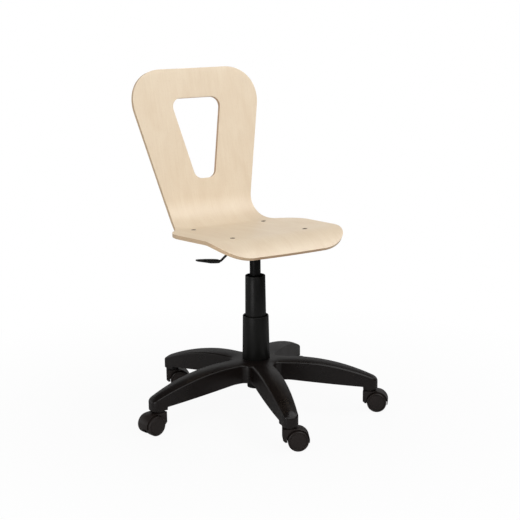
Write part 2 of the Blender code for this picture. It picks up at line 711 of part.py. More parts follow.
def standing_tube():
    end_top = TUBE_BOTTOM + TUBE_END
    foot_bore = TUBE_FOOT_RADIUS - TUBE_WALL
    rim = TUBE_RIM_CHAMFER
    return turned([(ROD_RADIUS + GAP, TUBE_BOTTOM), (ROD_RADIUS + GAP, end_top), (foot_bore, end_top),
                   (TUBE_BORE, HUB_TOP), (TUBE_BORE, TUBE_TOP - rim), (TUBE_BORE + rim, TUBE_TOP),
                   (TUBE_TOP_RADIUS - rim, TUBE_TOP), (TUBE_TOP_RADIUS, TUBE_TOP - rim),
                   (TUBE_COVER_RADIUS, COVER_TOP), (TUBE_COVER_RADIUS, HUB_TOP),
                   (TUBE_FOOT_RADIUS, TUBE_BOTTOM)])


def guide_bush():
    top = TUBE_TOP - BUSH_RECESS
    return ring(CYLINDER_RADIUS + GAP, TUBE_BORE - GAP, top - BUSH_LENGTH, top)


def bearing_stack():
    """The pieces on the tube's foot, from below, each a gap above the last: name, height and shape."""
    bore = ROD_RADIUS + GAP
    low = BEARING_BOTTOM
    pieces = []
    for name, height in (("thrust_washer_lower", WASHER_HEIGHT), ("ball_cage", CAGE_HEIGHT),
                         ("thrust_washer_upper", WASHER_HEIGHT)):
        pieces.append((name, ring(bore, WASHER_RADIUS, low, low + height, SMALL_ROUND)))
        low += height + GAP
    waist = BUMP_RADIUS - BUMP_WAIST
    buffer = [(bore, low), (bore, BUMP_TOP), (waist, BUMP_TOP), (BUMP_RADIUS, BUMP_TOP - BUMP_WAIST),
              (waist, (low + BUMP_TOP) / 2.0), (BUMP_RADIUS, low)]
    pieces.append(("bump_stop", turned(buffer, SMALL_ROUND)))
    return pieces


def rod_clip():
    top = TUBE_BOTTOM - GAP
    return ring(ROD_RADIUS + GAP, CLIP_RADIUS, top - CLIP_HEIGHT, top, SMALL_ROUND)


def column_cover():
    low = HUB_TOP - COVER_SEAT + GAP
    top_bore = COVER_TOP_RADIUS - COVER_WALL
    shoulder = COVER_TOP - COVER_LIP
    return turned([(COVER_FOOT_RADIUS - COVER_WALL, low), (top_bore, shoulder),
                   (top_bore + COVER_LIP_INSET, COVER_TOP), (COVER_TOP_RADIUS - COVER_LIP_INSET, COVER_TOP),
                   (COVER_TOP_RADIUS, shoulder), (COVER_FOOT_RADIUS, low)])


# Arm shape along its own axis: along is measured from the column
def arm_top(along):
    share = max(0.0, along - ARM_CREST) / (STEM_CIRCLE - ARM_CREST)
    return HUB_TOP - ARM_FALL * min(share, 1.0) ** 2


def arm_bottom(along):
    tip_start = STEM_CIRCLE - TIP_RADIUS
    share = (along - ARM_CREST) / (tip_start - ARM_CREST)
    return HUB_BOTTOM + (TIP_BOTTOM - HUB_BOTTOM) * min(1.0, max(0.0, share))


def arm_half_width(along):
    share = (along - ARM_CREST) / (STEM_CIRCLE - ARM_CREST)
    return ROOT_HALF_WIDTH + (TIP_RADIUS - ROOT_HALF_WIDTH) * min(1.0, max(0.0, share)) ** ARM_WAIST_POWER


def half_arm_edge():
    """Half an arm's edge in plan with the spine point that each edge point leans to, valley to tip."""
    half_sector = math.pi / ARMS
    reach = (ROOT_HALF_WIDTH + VALLEY_RADIUS) / math.sin(half_sector)
    centre = Vector((reach * math.cos(half_sector), reach * math.sin(half_sector)))
    hub = Vector((0.0, 0.0))
    valley = arc(centre, VALLEY_RADIUS, half_sector + math.pi, 1.5 * math.pi)
    edge = [(point, hub) for point in valley]
    flat_from = centre.x
    for along in stations(flat_from, STEM_CIRCLE, ARM_STEPS):
        edge.append((Vector((along, arm_half_width(along))), Vector((along, 0.0))))
    stem = Vector((STEM_CIRCLE, 0.0))
    for turn in stations(0.0, math.pi / 2.0, TIP_STEPS):
        edge.append((stem + TIP_RADIUS * Vector((math.sin(turn), math.cos(turn))), stem))
    return edge


def star_base():
    half = half_arm_edge()
    mirrored = [(Vector((edge.x, -edge.y)), spine) for edge, spine in half]
    arm = mirrored + half[-2:0:-1]
    edges = []
    for index in range(ARMS):
        spin = Matrix.Rotation(ARM_TURN + index * 2.0 * math.pi / ARMS, 2)
        edges.extend((point, spine, spin) for point, spine in arm)

    def row(inset, height):
        loop = []
        for point, spine, spin in edges:
            inward = spine - point
            place = spin @ (point + inward.normalized() * min(inset, inward.length))
            loop.append((place.x, place.y, height(point.x, spine.x)))
        return loop

    def shoulder(along):
        return arm_top(along) - ARM_CROWN

    edge_mid = ARM_EDGE_RADIUS * (1.0 - math.sqrt(0.5))
    loops = [row(TO_SPINE, lambda edge, spine: arm_bottom(spine)),
             row(0.0, lambda edge, spine: arm_bottom(edge)),
             row(0.0, lambda edge, spine: shoulder(edge) - ARM_EDGE_RADIUS),
             row(edge_mid, lambda edge, spine: shoulder(edge) - edge_mid),
             row(ARM_EDGE_RADIUS, lambda edge, spine: shoulder(edge)),
             row(CROWN_INSET, lambda edge, spine: shoulder(edge) + CROWN_RISE),
             row(TO_SPINE, lambda edge, spine: arm_top(spine))]
    bm = skin(loops)
    for face in [face for face in bm.faces if len(face.verts) > 4]:
        bm.faces.remove(face)
    bmesh.ops.remove_doubles(bm, verts=bm.verts, dist=1e-6)
    bmesh.ops.dissolve_degenerate(bm, edges=bm.edges, dist=1e-6)
    bmesh.ops.holes_fill(bm, edges=[edge for edge in bm.edges if edge.is_boundary])
    bmesh.ops.triangulate(bm, faces=bm.faces)
    boss_top = TIP_BOTTOM + ARM_ROOF
    bosses = [moved(rod(BOSS_RADIUS, BOSS_BOTTOM, boss_top, ROUND), place) for place in stem_places()]
    bm = combine(bm, merged(bosses), "UNION")
    return combine(bm, merged(base_cutters()))


def stem_places():
    """The caster stems' places on the base, each turned with its arm."""
    spins = [Matrix.Rotation(ARM_TURN + index * 2.0 * math.pi / ARMS, 4, "Z") for index in range(ARMS)]
    return [spin @ Matrix.Translation((STEM_CIRCLE, 0.0, 0.0)) for spin in spins]


def base_cutters():
    """The hub's conical bore and sleeve seat, the stem holes and the pockets between the ribs."""
    low = HUB_BOTTOM - COVER_SEAT
    seat = HUB_TOP - COVER_SEAT
    top = HUB_TOP + COVER_SEAT
    seat_radius = COVER_FOOT_RADIUS + GAP
    cutters = [turned([(0.0, low), (tube_radius(HUB_BOTTOM) + GAP, low), (TUBE_COVER_RADIUS + GAP, seat),
                       (seat_radius, seat), (seat_radius, top), (0.0, top)])]
    pocket_outer = STEM_CIRCLE - TIP_RADIUS - ARM_WALL
    pitch = (pocket_outer - POCKET_INNER + ARM_RIB) / POCKETS
    for index in range(ARMS):
        spin = Matrix.Rotation(ARM_TURN + index * 2.0 * math.pi / ARMS, 4, "Z")
        stem_top = arm_top(STEM_CIRCLE) - STEM_ROOF
        stem = rod(STEM_RADIUS + GAP, BOSS_BOTTOM - COVER_SEAT, stem_top)
        cutters.append(moved(stem, stem_places()[index]))
        for pocket in range(POCKETS):
            near = POCKET_INNER + pocket * pitch
            for side in (-1.0, 1.0):
                ends = [pocket_section(along, side) for along in (near, near + pitch - ARM_RIB)]
                cutters.append(moved(skin(ends), spin))
    return cutters


def pocket_section(along, side):
    """The cross-section of a moulding pocket, one side of the middle rib, open below."""
    inner = side * ARM_RIB / 2.0
    outer = side * (arm_half_width(along) - ARM_WALL)
    roof = arm_top(along) - ARM_CROWN - ARM_ROOF
    low = arm_bottom(along) - ARM_ROOF
    return [(along, inner, low), (along, outer, low), (along, outer, roof), (along, inner, roof)]


# Caster sizes in its own frame: the stem is the Z axis and the wheels trail towards +X
NECK_FRONT = HOOD_INNER - TRAIL + NECK_THICK
NECK_BOTTOM = WHEEL_RADIUS - NECK_DROP
WEB_HALF = STEM_RADIUS - STEM_SHOWS
WHEEL_INNER_FACE = WEB_HALF + WHEEL_SIDE_PLAY
AXLE_HALF = WHEEL_INNER_FACE + WHEEL_WIDTH - WHEEL_DISH - WHEEL_SKIN - GAP
UPRIGHT = Matrix.Rotation(math.pi / 2.0, 4, "X")


def caster_hood():
    axle = (TRAIL, WHEEL_RADIUS)
    neck_meets = math.pi + math.asin((WHEEL_RADIUS - NECK_BOTTOM) / HOOD_INNER)
    neck = rounded([(TRAIL, HOOD_TOP), (-NECK_FRONT, HOOD_TOP), (-NECK_FRONT, NECK_BOTTOM + NECK_CHAMFER),
                    (NECK_CHAMFER - NECK_FRONT, NECK_BOTTOM), (TRAIL, NECK_BOTTOM)],
                   [0.0, NECK_CORNER, NECK_CORNER, NECK_CORNER, 0.0], closed=False, pace=COARSE_STEP)
    outline = arc(axle, HOOD_OUTER, HOOD_TAIL, math.pi / 2.0) + neck[1:-1]
    outline += arc(axle, HOOD_INNER, neck_meets, HOOD_TAIL)
    cover = moved(prism(outline, -HOOD_HALF, HOOD_HALF), UPRIGHT)
    bite = (HOOD_INNER + HOOD_OUTER) / 2.0
    web_shape = arc(axle, bite, 0.0, math.pi, COARSE_STEP)
    web_shape += arc(axle, WEB_FOOT, math.pi + WEB_FOOT_CUT, 2.0 * math.pi - WEB_FOOT_CUT, COARSE_STEP)
    web = moved(prism(web_shape, -WEB_HALF, WEB_HALF), UPRIGHT)
    bm = combine(cover, web, "UNION")
    stem_hole = rod(STEM_RADIUS + GAP, HOOD_TOP - STEM_SEAT, HOOD_TOP + STEM_SEAT)
    axle_hole = moved(rod(AXLE_RADIUS + GAP, -2.0 * WEB_HALF, 2.0 * WEB_HALF, FINE_ROUND),
                      Matrix.Translation((TRAIL, 0.0, WHEEL_RADIUS)) @ UPRIGHT)
    return combine(bm, merged([stem_hole, axle_hole]))


def caster_stem():
    low = HOOD_TOP - STEM_SEAT + GAP
    collar_low = HOOD_TOP + GAP
    collar_top = BOSS_BOTTOM - GAP
    top = arm_top(STEM_CIRCLE) - STEM_ROOF - GAP
    return turned([(0.0, low), (STEM_RADIUS, low), (STEM_RADIUS, collar_low), (STEM_COLLAR, collar_low),
                   (STEM_COLLAR, collar_top), (STEM_RADIUS, collar_top), (STEM_RADIUS, top), (0.0, top)],
                  SMALL_ROUND)


def caster_axle():
    return moved(rod(AXLE_RADIUS, -AXLE_HALF, AXLE_HALF, FINE_ROUND), UPRIGHT)


def caster_wheel(side):
    """A wheel about the Y axis, closed on its outer face; a flat of its rim meets the floor."""
    tall = 1.0 / math.cos(math.pi / WHEEL_SIDES)
    rim = WHEEL_RADIUS * tall
    edge = WHEEL_EDGE
    inner = WHEEL_INNER_FACE
    outer = inner + WHEEL_WIDTH
    face = outer - WHEEL_DISH
    bore = AXLE_RADIUS + GAP
    blind = face - WHEEL_SKIN
    profile = [(0.0, face), (rim - WHEEL_RIM - WHEEL_DISH, face), (rim - WHEEL_RIM, outer),
               (rim - edge, outer), (rim, outer - edge), (rim, inner), (bore, inner), (bore, blind),
               (0.0, blind)]
    sided = [(radius, -side * height) for radius, height in profile]
    return moved(turned(sided, WHEEL_SIDES, math.pi / WHEEL_SIDES), UPRIGHT)


def build_casters(root, metal, nylon):
    shapes = {"stem": caster_stem(), "hood": caster_hood(), "axle": caster_axle(),
              "wheel_left": caster_wheel(1.0), "wheel_right": caster_wheel(-1.0)}
    meshes = {name: make_mesh("caster_" + name, shape) for name, shape in shapes.items()}
    looks = {"stem": metal, "hood": nylon, "axle": metal, "wheel_left": nylon, "wheel_right": nylon}
    for index, trail in enumerate(AXLE_TRAILS):
        arm = ARM_TURN + index * 2.0 * math.pi / ARMS
        place = (STEM_CIRCLE * math.cos(arm), STEM_CIRCLE * math.sin(arm), 0.0)
        name = f"caster_{index + 1}"
        swivel = make_empty(name + "_swivel", place, root, (0.0, 0.0, trail))
        for piece in ("stem", "hood"):
            make_piece(f"{name}_{piece}", meshes[piece], looks[piece], swivel)
        for piece in ("axle", "wheel_left", "wheel_right"):
            make_piece(f"{name}_{piece}", meshes[piece], looks[piece], swivel, (TRAIL, 0.0, WHEEL_RADIUS))


def build_seat(seat, wood, steel, black, nylon):
    make_piece("seat_shell", seat_shell(), wood, seat)
    datum = make_empty("plate_datum", PLATE_PLACE, seat, (-SEAT_TILT, 0.0, 0.0))
    make_piece("seat_plate", seat_plate(), black, datum)
    bolt = make_mesh("seat_bolt", seat_bolt())
    nut = make_mesh("seat_nut", seat_nut())
    for index, top in enumerate(bolt_tops()):
        make_piece(f"seat_bolt_{index + 1}", bolt, steel, datum, top)
        make_piece(f"seat_nut_{index + 1}", nut, steel, datum, (top.x, top.y, dish_lift(top.x)))
    make_piece("taper_socket", taper_socket(), black, seat)
    make_piece("lever_bush", lever_bush(), nylon, seat, (PIVOT_X, 0.0, LEVER_HEIGHT))
    lever = make_empty("lever_pivot", (PIVOT_X, 0.0, LEVER_HEIGHT), seat)
    make_piece("lever_rod", lever_rod(), black, lever)
    make_piece("lever_paddle", lever_paddle(), nylon, lever, (PADDLE_START.x, 0.0, PADDLE_START.y))


def build_column(root, lift, steel, black, nylon, rubber):
    make_piece("gas_cylinder", gas_cylinder(), black, lift)
    make_piece("rod_guide", rod_guide(), nylon, lift)
    make_piece("release_pin", release_pin(), steel, lift)
    make_piece("piston_rod", piston_rod(), steel, root)
    make_piece("standing_tube", standing_tube(), black, root)
    make_piece("guide_bush", guide_bush(), nylon, root)
    for name, shape in bearing_stack():
        make_piece(name, shape, rubber if name == "bump_stop" else steel, root)
    make_piece("rod_clip", rod_clip(), steel, root)
    make_piece("column_cover", column_cover(), nylon, root)
    make_piece("star_base", star_base(), nylon, root)


def build_chair():
    clear_scene()
    wood = make_material("birch_ply", (0.76, 0.62, 0.45), 0.45)
    steel = make_material("zinc_steel", (0.55, 0.55, 0.56), 0.35, 1.0)
    black = make_material("black_enamel", (0.012, 0.012, 0.012), 0.4, 0.3)
    nylon = make_material("black_nylon", (0.018, 0.016, 0.016), 0.55)
    rubber = make_material("black_rubber", (0.02, 0.02, 0.02), 0.8)
    root = make_empty("column_axis", (COLUMN_X, COLUMN_Y, 0.0))
    lift = make_empty("gas_lift", (0.0, 0.0, 0.0), root)
    seat = make_empty("seat_swivel", (0.0, 0.0, 0.0), lift)
    build_seat(seat, wood, steel, black, nylon)
    build_column(root, lift, steel, black, nylon, rubber)
    build_casters(root, steel, nylon)


build_chair()
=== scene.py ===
import json
import math

import bmesh
import bpy
from mathutils import Matrix, Vector


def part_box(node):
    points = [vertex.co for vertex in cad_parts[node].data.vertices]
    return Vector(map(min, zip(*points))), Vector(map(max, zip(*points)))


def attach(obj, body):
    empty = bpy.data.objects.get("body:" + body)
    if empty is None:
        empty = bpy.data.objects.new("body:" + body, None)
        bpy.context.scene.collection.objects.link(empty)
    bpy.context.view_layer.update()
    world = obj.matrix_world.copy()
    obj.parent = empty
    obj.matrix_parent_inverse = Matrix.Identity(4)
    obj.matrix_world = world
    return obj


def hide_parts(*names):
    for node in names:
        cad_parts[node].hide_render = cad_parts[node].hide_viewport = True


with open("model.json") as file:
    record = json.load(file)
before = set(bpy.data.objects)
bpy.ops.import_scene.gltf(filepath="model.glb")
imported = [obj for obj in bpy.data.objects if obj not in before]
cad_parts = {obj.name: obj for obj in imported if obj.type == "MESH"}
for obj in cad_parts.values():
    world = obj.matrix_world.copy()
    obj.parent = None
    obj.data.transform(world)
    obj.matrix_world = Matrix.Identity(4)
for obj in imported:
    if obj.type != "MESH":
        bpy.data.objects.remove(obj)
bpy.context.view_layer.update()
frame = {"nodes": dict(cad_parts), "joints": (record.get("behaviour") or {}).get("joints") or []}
joints = {joint["name"]: joint for joint in frame["joints"]}


# Five-arm base: one moulding of glass-filled nylon, hollow underneath and stiffened with ribs.
# Each arm ends in a boss for a caster stem, and the hub's cone holds the steel column.
COLUMN = Vector((joints["seat_swivel"]["pos_m"][0], joints["seat_swivel"]["pos_m"][1], 0.0))
STEM_CIRCLE = 0.2938
ARM_TURN = math.radians(-34.0)
FIFTH = math.radians(72.0)
HUB_TOP, HUB_LOW, HUB_SEAT_RADIUS, HUB_WALL_RADIUS = 0.1393, 0.0885, 0.0357, 0.0420
COLUMN_BORE, COLUMN_FOOT_BORE, SEAT_DEPTH = 0.0271, 0.0252, 0.002
ARM_CREST, ARM_FALL, ARM_TIP_LOW = 0.087, 0.0436, 0.0668
TIP_START, TIP_FOOT = STEM_CIRCLE - 0.0185, 0.0595
ROOT_HALF, TIP_RADIUS, TIP_SQUARE, VALLEY_RADIUS = 0.0280, 0.0195, 0.75, 0.0215
ARM_CROWN, ARM_EDGE, ARM_WALL, ARM_TAPER, WALL_STEP = 0.0030, 0.0058, 0.0042, 2.6, 0.0006
CURVE_STEPS, FLANK_STEPS, TIP_STEPS = 12, 28, 4
RIB, RIB_STEPS, CROSS_RIBS = 0.003, 16, (0.085, 0.147, 0.209)
BOSS_RADIUS, BOSS_LOW, STEM_BORE = 0.0174, 0.0550, 0.0058
CONE_EDGE, BOSS_EDGE = 0.0008, 0.0009


def arm_top(along):
    """Height of the arm's ridge: level over the hub, then falling in a parabola to the tip."""
    share = max(0.0, (along - ARM_CREST) / (STEM_CIRCLE - ARM_CREST))
    return HUB_TOP - ARM_FALL * share ** 2


def arm_low(along):
    """Height of the foot of the wall, which steps down round the tip."""
    share = (along - ARM_CREST) / (TIP_START - ARM_CREST)
    return TIP_FOOT if share > 1.0 else HUB_LOW + (ARM_TIP_LOW - HUB_LOW) * max(0.0, share)


def arm_half(along):
    """Half the arm's width, which narrows more and more towards the tip."""
    share = min(1.0, max(0.0, (along - ARM_CREST) / (STEM_CIRCLE - ARM_CREST)))
    return ROOT_HALF + (TIP_RADIUS - ROOT_HALF) * share ** ARM_TAPER


def arm_columns():
    """Half an arm in plan as (edge point, ridge point) pairs, from the valley beside it to its tip."""
    half = FIFTH / 2.0
    reach = (ROOT_HALF + VALLEY_RADIUS) / math.sin(half)
    centre = Vector((reach * math.cos(half), reach * math.sin(half)))
    columns = []
    for step in range(CURVE_STEPS + 1):
        turn = half + math.pi + (math.pi / 2.0 - half) * step / CURVE_STEPS
        edge = centre + VALLEY_RADIUS * Vector((math.cos(turn), math.sin(turn)))
        around = half * (1.0 - step / CURVE_STEPS)
        columns.append((edge, HUB_SEAT_RADIUS * Vector((math.cos(around), math.sin(around)))))
    flank = range(1, FLANK_STEPS + 1)
    stations = [centre.x + (TIP_START - centre.x) * step / FLANK_STEPS for step in flank]
    tip = TIP_START + WALL_STEP
    stations += [tip + (STEM_CIRCLE - tip) * step / TIP_STEPS for step in range(TIP_STEPS + 1)]
    for along in stations:
        columns.append((Vector((along, arm_half(along))), Vector((along, 0.0))))
    for step in range(1, CURVE_STEPS + 1):
        turn = max(0.0, math.pi / 2.0 * (1.0 - step / CURVE_STEPS))
        square = Vector((math.cos(turn) ** TIP_SQUARE, math.sin(turn) ** TIP_SQUARE))
        edge = Vector((STEM_CIRCLE, 0.0)) + TIP_RADIUS * square
        columns.append((edge, Vector((STEM_CIRCLE, 0.0))))
    return columns


def arm_rows():
    """From the ridge to the foot of the wall: share of the way to the edge, inset from it, and drop."""
    crown = [(share, ARM_EDGE, ARM_CROWN * share ** 2) for share in (0.0, 0.2, 0.4, 0.6, 0.8, 0.92, 1.0)]
    turns = [math.radians(turn) for turn in (18, 36, 54, 72, 90)]
    edge = [(1.0, ARM_EDGE * (1.0 - math.sin(t)), ARM_CROWN + ARM_EDGE * (1.0 - math.cos(t))) for t in turns]
    return crown + edge + [(1.0, 0.0, None)]


def base_skin():
    """A grid laid over half an arm, mirrored, set round the hub five times and given its wall."""
    columns, rows = arm_columns(), arm_rows()
    bm = bmesh.new()
    bmesh.ops.create_grid(bm, x_segments=len(columns) - 1, y_segments=len(rows) - 1, size=0.5)
    for vert in bm.verts:
        edge, ridge = columns[round((vert.co.x + 0.5) * (len(columns) - 1))]
        share, inset, drop = rows[round((vert.co.y + 0.5) * (len(rows) - 1))]
        run = edge - ridge
        spot = ridge + run * share * (1.0 - inset / run.length)
        height = arm_low(edge.x) if drop is None else arm_top(spot.x) - drop
        vert.co = (spot.x, spot.y, height)
    bmesh.ops.mirror(bm, geom=bm.verts[:] + bm.edges[:] + bm.faces[:], axis="Y", merge_dist=1e-5)
    bmesh.ops.spin(bm, geom=bm.verts[:] + bm.edges[:] + bm.faces[:], axis=(0.0, 0.0, 1.0),
                   cent=(0.0, 0.0, 0.0), angle=4.0 * FIFTH, steps=4, use_duplicate=True)
    bmesh.ops.remove_doubles(bm, verts=bm.verts, dist=1e-5)
    bmesh.ops.recalc_face_normals(bm, faces=bm.faces)
    if max(bm.faces, key=lambda face: face.calc_center_median().z).normal.z < 0.0:
        bmesh.ops.reverse_faces(bm, faces=bm.faces)
    bmesh.ops.solidify(bm, geom=bm.faces[:], thickness=ARM_WALL)
    return bm


def turned(profile, steps=64):
    """A shape turned about Z from (radius, height) points, its doubles merged and its faces outwards."""
    bm = bmesh.new()
    verts = [bm.verts.new((radius, 0.0, height)) for radius, height in profile]
    edges = [bm.edges.new(pair) for pair in zip(verts, verts[1:])]
    bmesh.ops.spin(bm, geom=verts + edges, axis=(0.0, 0.0, 1.0), cent=(0.0, 0.0, 0.0),
                   angle=2.0 * math.pi, steps=steps, use_merge=True)
    bmesh.ops.remove_doubles(bm, verts=bm.verts, dist=1e-6)
    bmesh.ops.recalc_face_normals(bm, faces=bm.faces)
    return bm


def soften(bm, radius, segments=3, least=30.0):
    """Rounds every edge that turns more than the least angle."""
    sharp = [edge for edge in bm.edges if edge.calc_face_angle(0.0) > math.radians(least)]
    bmesh.ops.bevel(bm, geom=sharp, offset=radius, offset_type="OFFSET", segments=segments, profile=0.5,
                    affect="EDGES", clamp_overlap=True, material=-1)
    bmesh.ops.dissolve_degenerate(bm, dist=2e-6, edges=bm.edges)
    return bm


def add_shape(whole, shape, place=Matrix()):
    """Puts one finished shape into a piece, at its place."""
    mesh = bpy.data.meshes.new("shape")
    shape.to_mesh(mesh)
    shape.free()
    mesh.transform(place)
    whole.from_mesh(mesh)
    bpy.data.meshes.remove(mesh)


def new_verts(grown):
    """The corners that an extrude has made."""
    return [item for item in grown["geom"] if isinstance(item, bmesh.types.BMVert)]


def new_edges(grown):
    """The edges at the far end of what an extrude has made."""
    return [item for item in grown["geom"] if isinstance(item, bmesh.types.BMEdge)]


def rib_along(start, end, across):
    """A rib under an arm: a strip from the foot of the wall up into the roof, then given its thickness."""
    bm = bmesh.new()
    spots = [start + (end - start) * step / RIB_STEPS for step in range(RIB_STEPS + 1)]
    low = [bm.verts.new((spot.x, spot.y, arm_low(spot.x) + RIB)) for spot in spots]
    edges = [bm.edges.new(pair) for pair in zip(low, low[1:])]
    for vert in new_verts(bmesh.ops.extrude_edge_only(bm, edges=edges)):
        vert.co.z = arm_top(vert.co.x) - ARM_CROWN - ARM_WALL / 2.0
    bmesh.ops.translate(bm, verts=bm.verts, vec=across * RIB / -2.0)
    grown = bmesh.ops.extrude_face_region(bm, geom=bm.faces[:])
    bmesh.ops.translate(bm, verts=new_verts(grown), vec=across * RIB)
    bmesh.ops.recalc_face_normals(bm, faces=bm.faces)
    return bm


def base_moulding():
    """The skin with the hub's cone, and under each arm a long rib, its cross ribs and the boss."""
    bm = base_skin()
    cone = [(HUB_SEAT_RADIUS, HUB_TOP), (HUB_SEAT_RADIUS, HUB_TOP - SEAT_DEPTH),
            (COLUMN_BORE, HUB_TOP - SEAT_DEPTH), (COLUMN_FOOT_BORE, HUB_LOW),
            (HUB_WALL_RADIUS, HUB_LOW), (HUB_WALL_RADIUS, HUB_TOP - ARM_WALL), (HUB_SEAT_RADIUS, HUB_TOP)]
    add_shape(bm, soften(turned(cone, 80), CONE_EDGE, 2))
    for arm in range(5):
        turn = Matrix.Rotation(arm * FIFTH, 4, "Z")
        ends = Vector((HUB_WALL_RADIUS - RIB, 0.0)), Vector((STEM_CIRCLE - BOSS_RADIUS + RIB, 0.0))
        add_shape(bm, rib_along(*ends, Vector((0.0, 1.0, 0.0))), turn)
        for along in CROSS_RIBS:
            half = arm_half(along) - ARM_WALL / 2.0
            ends = Vector((along, -half)), Vector((along, half))
            add_shape(bm, rib_along(*ends, Vector((1.0, 0.0, 0.0))), turn)
        roof = arm_top(STEM_CIRCLE + BOSS_RADIUS) - ARM_CROWN - ARM_WALL
        boss = [(STEM_BORE, roof), (STEM_BORE, BOSS_LOW), (BOSS_RADIUS, BOSS_LOW), (BOSS_RADIUS, roof),
                (STEM_BORE, roof)]
        add_shape(bm, soften(turned(boss, 48), BOSS_EDGE), turn @ Matrix.Translation((STEM_CIRCLE, 0.0, 0.0)))
    bmesh.ops.transform(bm, verts=bm.verts,
                        matrix=Matrix.Translation(COLUMN) @ Matrix.Rotation(ARM_TURN, 4, "Z"))
    return bm


def linear(code):
    """An sRGB hex colour as the linear RGBA that a socket takes."""
    parts = [int(code[start:start + 2], 16) / 255.0 for start in (1, 3, 5)]
    return (*[part / 12.92 if part <= 0.04045 else ((part + 0.055) / 1.055) ** 2.4 for part in parts], 1.0)


def add(tree, kind, inputs, **settings):
    """A node with its settings, each input either linked to another node's output or set to a value."""
    node = tree.nodes.new("ShaderNode" + kind)
    for name, value in settings.items():
        setattr(node, name, value)
    for socket, value in inputs.items():
        if isinstance(value, bpy.types.NodeSocket):
            tree.links.new(value, node.inputs[socket])
        else:
            node.inputs[socket].default_value = value
    return node


def new_material(name):
    material = bpy.data.materials.new(name)
    material.use_nodes = True
    material.node_tree.nodes.clear()
    return material


def moulded_nylon(name, dark, pale, rough, shine, grain_mm):
    """Black nylon out of a spark-eroded mould: satin where it faces the eye, with a pebble that takes the
    shine away along its surface, and faint flow clouds. The pebble is drawn coarser than it is, because
    the real one is too fine to show."""
    material = new_material(name)
    tree = material.node_tree
    spot = add(tree, "TexCoord", {}).outputs["Object"]
    clouds = add(tree, "TexNoise", {"Vector": spot, "Scale": 1.0 / 0.035, "Detail": 3.0})
    pebble = add(tree, "TexNoise", {"Vector": spot, "Scale": 1000.0 / grain_mm, "Detail": 2.0})
    colour = add(tree, "Mix", {0: clouds.outputs[0], 6: linear(dark), 7: linear(pale)}, data_type="RGBA")
    bump = add(tree, "Bump", {"Height": pebble.outputs[0], "Strength": 0.25, "Distance": 0.0002})
    slant = add(tree, "LayerWeight", {"Blend": 0.5}).outputs["Facing"]
    satin = add(tree, "MapRange", {0: clouds.outputs[0], 1: 0.3, 2: 0.7, 3: rough - 0.04, 4: rough + 0.05})
    gloss = add(tree, "MapRange", {0: slant, 1: 0.45, 2: 0.85, 3: satin.outputs[0], 4: 0.6})
    sheen = add(tree, "MapRange", {0: slant, 1: 0.35, 2: 0.75, 3: shine, 4: shine * 0.55})
    shader = add(tree, "BsdfPrincipled", {"Base Color": colour.outputs[2], "Roughness": gloss.outputs[0],
                                          "Specular IOR Level": sheen.outputs[0], "Normal": bump.outputs[0]})
    add(tree, "OutputMaterial", {0: shader.outputs[0]})
    return material


def make_piece(name, bm, material, body, nodes, sharp=40.0):
    """The finished mesh as an object that rides on a body in place of its CAD nodes."""
    mesh = bpy.data.meshes.new(name)
    bm.to_mesh(mesh)
    bm.free()
    mesh.shade_smooth()
    mesh.set_sharp_from_angle(angle=math.radians(sharp))
    mesh.materials.append(material)
    piece = bpy.data.objects.new(name, mesh)
    bpy.context.scene.collection.objects.link(piece)
    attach(piece, body)
    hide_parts(*nodes)
    return piece


base_nylon = moulded_nylon("glass_filled_nylon", "#0c0807", "#140e0c", rough=0.30, shine=0.28, grain_mm=0.9)
make_piece("base_moulding", base_moulding(), base_nylon, "base", ["star_base"])


# Casters: twin nylon wheels on a steel axle, held by a moulded hood with a web between the wheels.
# A steel stem grips the boss of the arm, and the hood swivels under it with a small offset.
WHEEL_RADIUS, TRAIL = 0.025, 0.0186
HOOD_INNER, HOOD_OUTER, HOOD_HALF, HOOD_TOP = 0.0260, 0.0281, 0.0170, 0.0531
HOOD_TAIL = math.radians(-14.0)
NECK_FRONT, NECK_LOW, NECK_CHAMFER = 0.0175, 0.0205, 0.0055
WEB_HALF, WEB_FOOT, WEB_SPAN = 0.0052, 0.012, (math.radians(198.0), math.radians(342.0))
STEM_RADIUS, STEM_LOW, STEM_TOP, COLLAR_RADIUS, COLLAR_PLAY = 0.0055, 0.0379, 0.0879, 0.0088, 0.0003
HOOD_EDGE, WEB_EDGE, STEM_EDGE = 0.0009, 0.0006, 0.0004
WHEEL_PROFILE = [(0.0, 0.0240), (0.0075, 0.0239), (0.0150, 0.0237), (0.0192, 0.0234), (0.0197, 0.0229),
                 (0.0204, 0.0229), (0.0209, 0.0236), (0.0216, 0.0244), (0.0226, 0.0246), (0.0236, 0.0243),
                 (0.0244, 0.0236), (0.0249, 0.0226), (0.0250, 0.0212), (0.0250, 0.0082), (0.0247, 0.0070),
                 (0.0240, 0.0063), (0.0230, 0.0062), (0.0033, 0.0062), (0.0033, 0.0214), (0.0, 0.0214)]


def side_slab(outline, half):
    """A side view in X and Z, extruded across Y."""
    bm = bmesh.new()
    face = bm.faces.new([bm.verts.new((x, -half, z)) for x, z in outline])
    grown = bmesh.ops.extrude_face_region(bm, geom=[face])
    bmesh.ops.translate(bm, verts=new_verts(grown), vec=(0.0, 2.0 * half, 0.0))
    bmesh.ops.recalc_face_normals(bm, faces=bm.faces)
    return bm


def round_axle(radius, start, end, steps):
    """An arc about the axle, seen from the side."""
    turns = [start + (end - start) * step / steps for step in range(steps + 1)]
    return [(TRAIL + radius * math.cos(turn), WHEEL_RADIUS + radius * math.sin(turn)) for turn in turns]


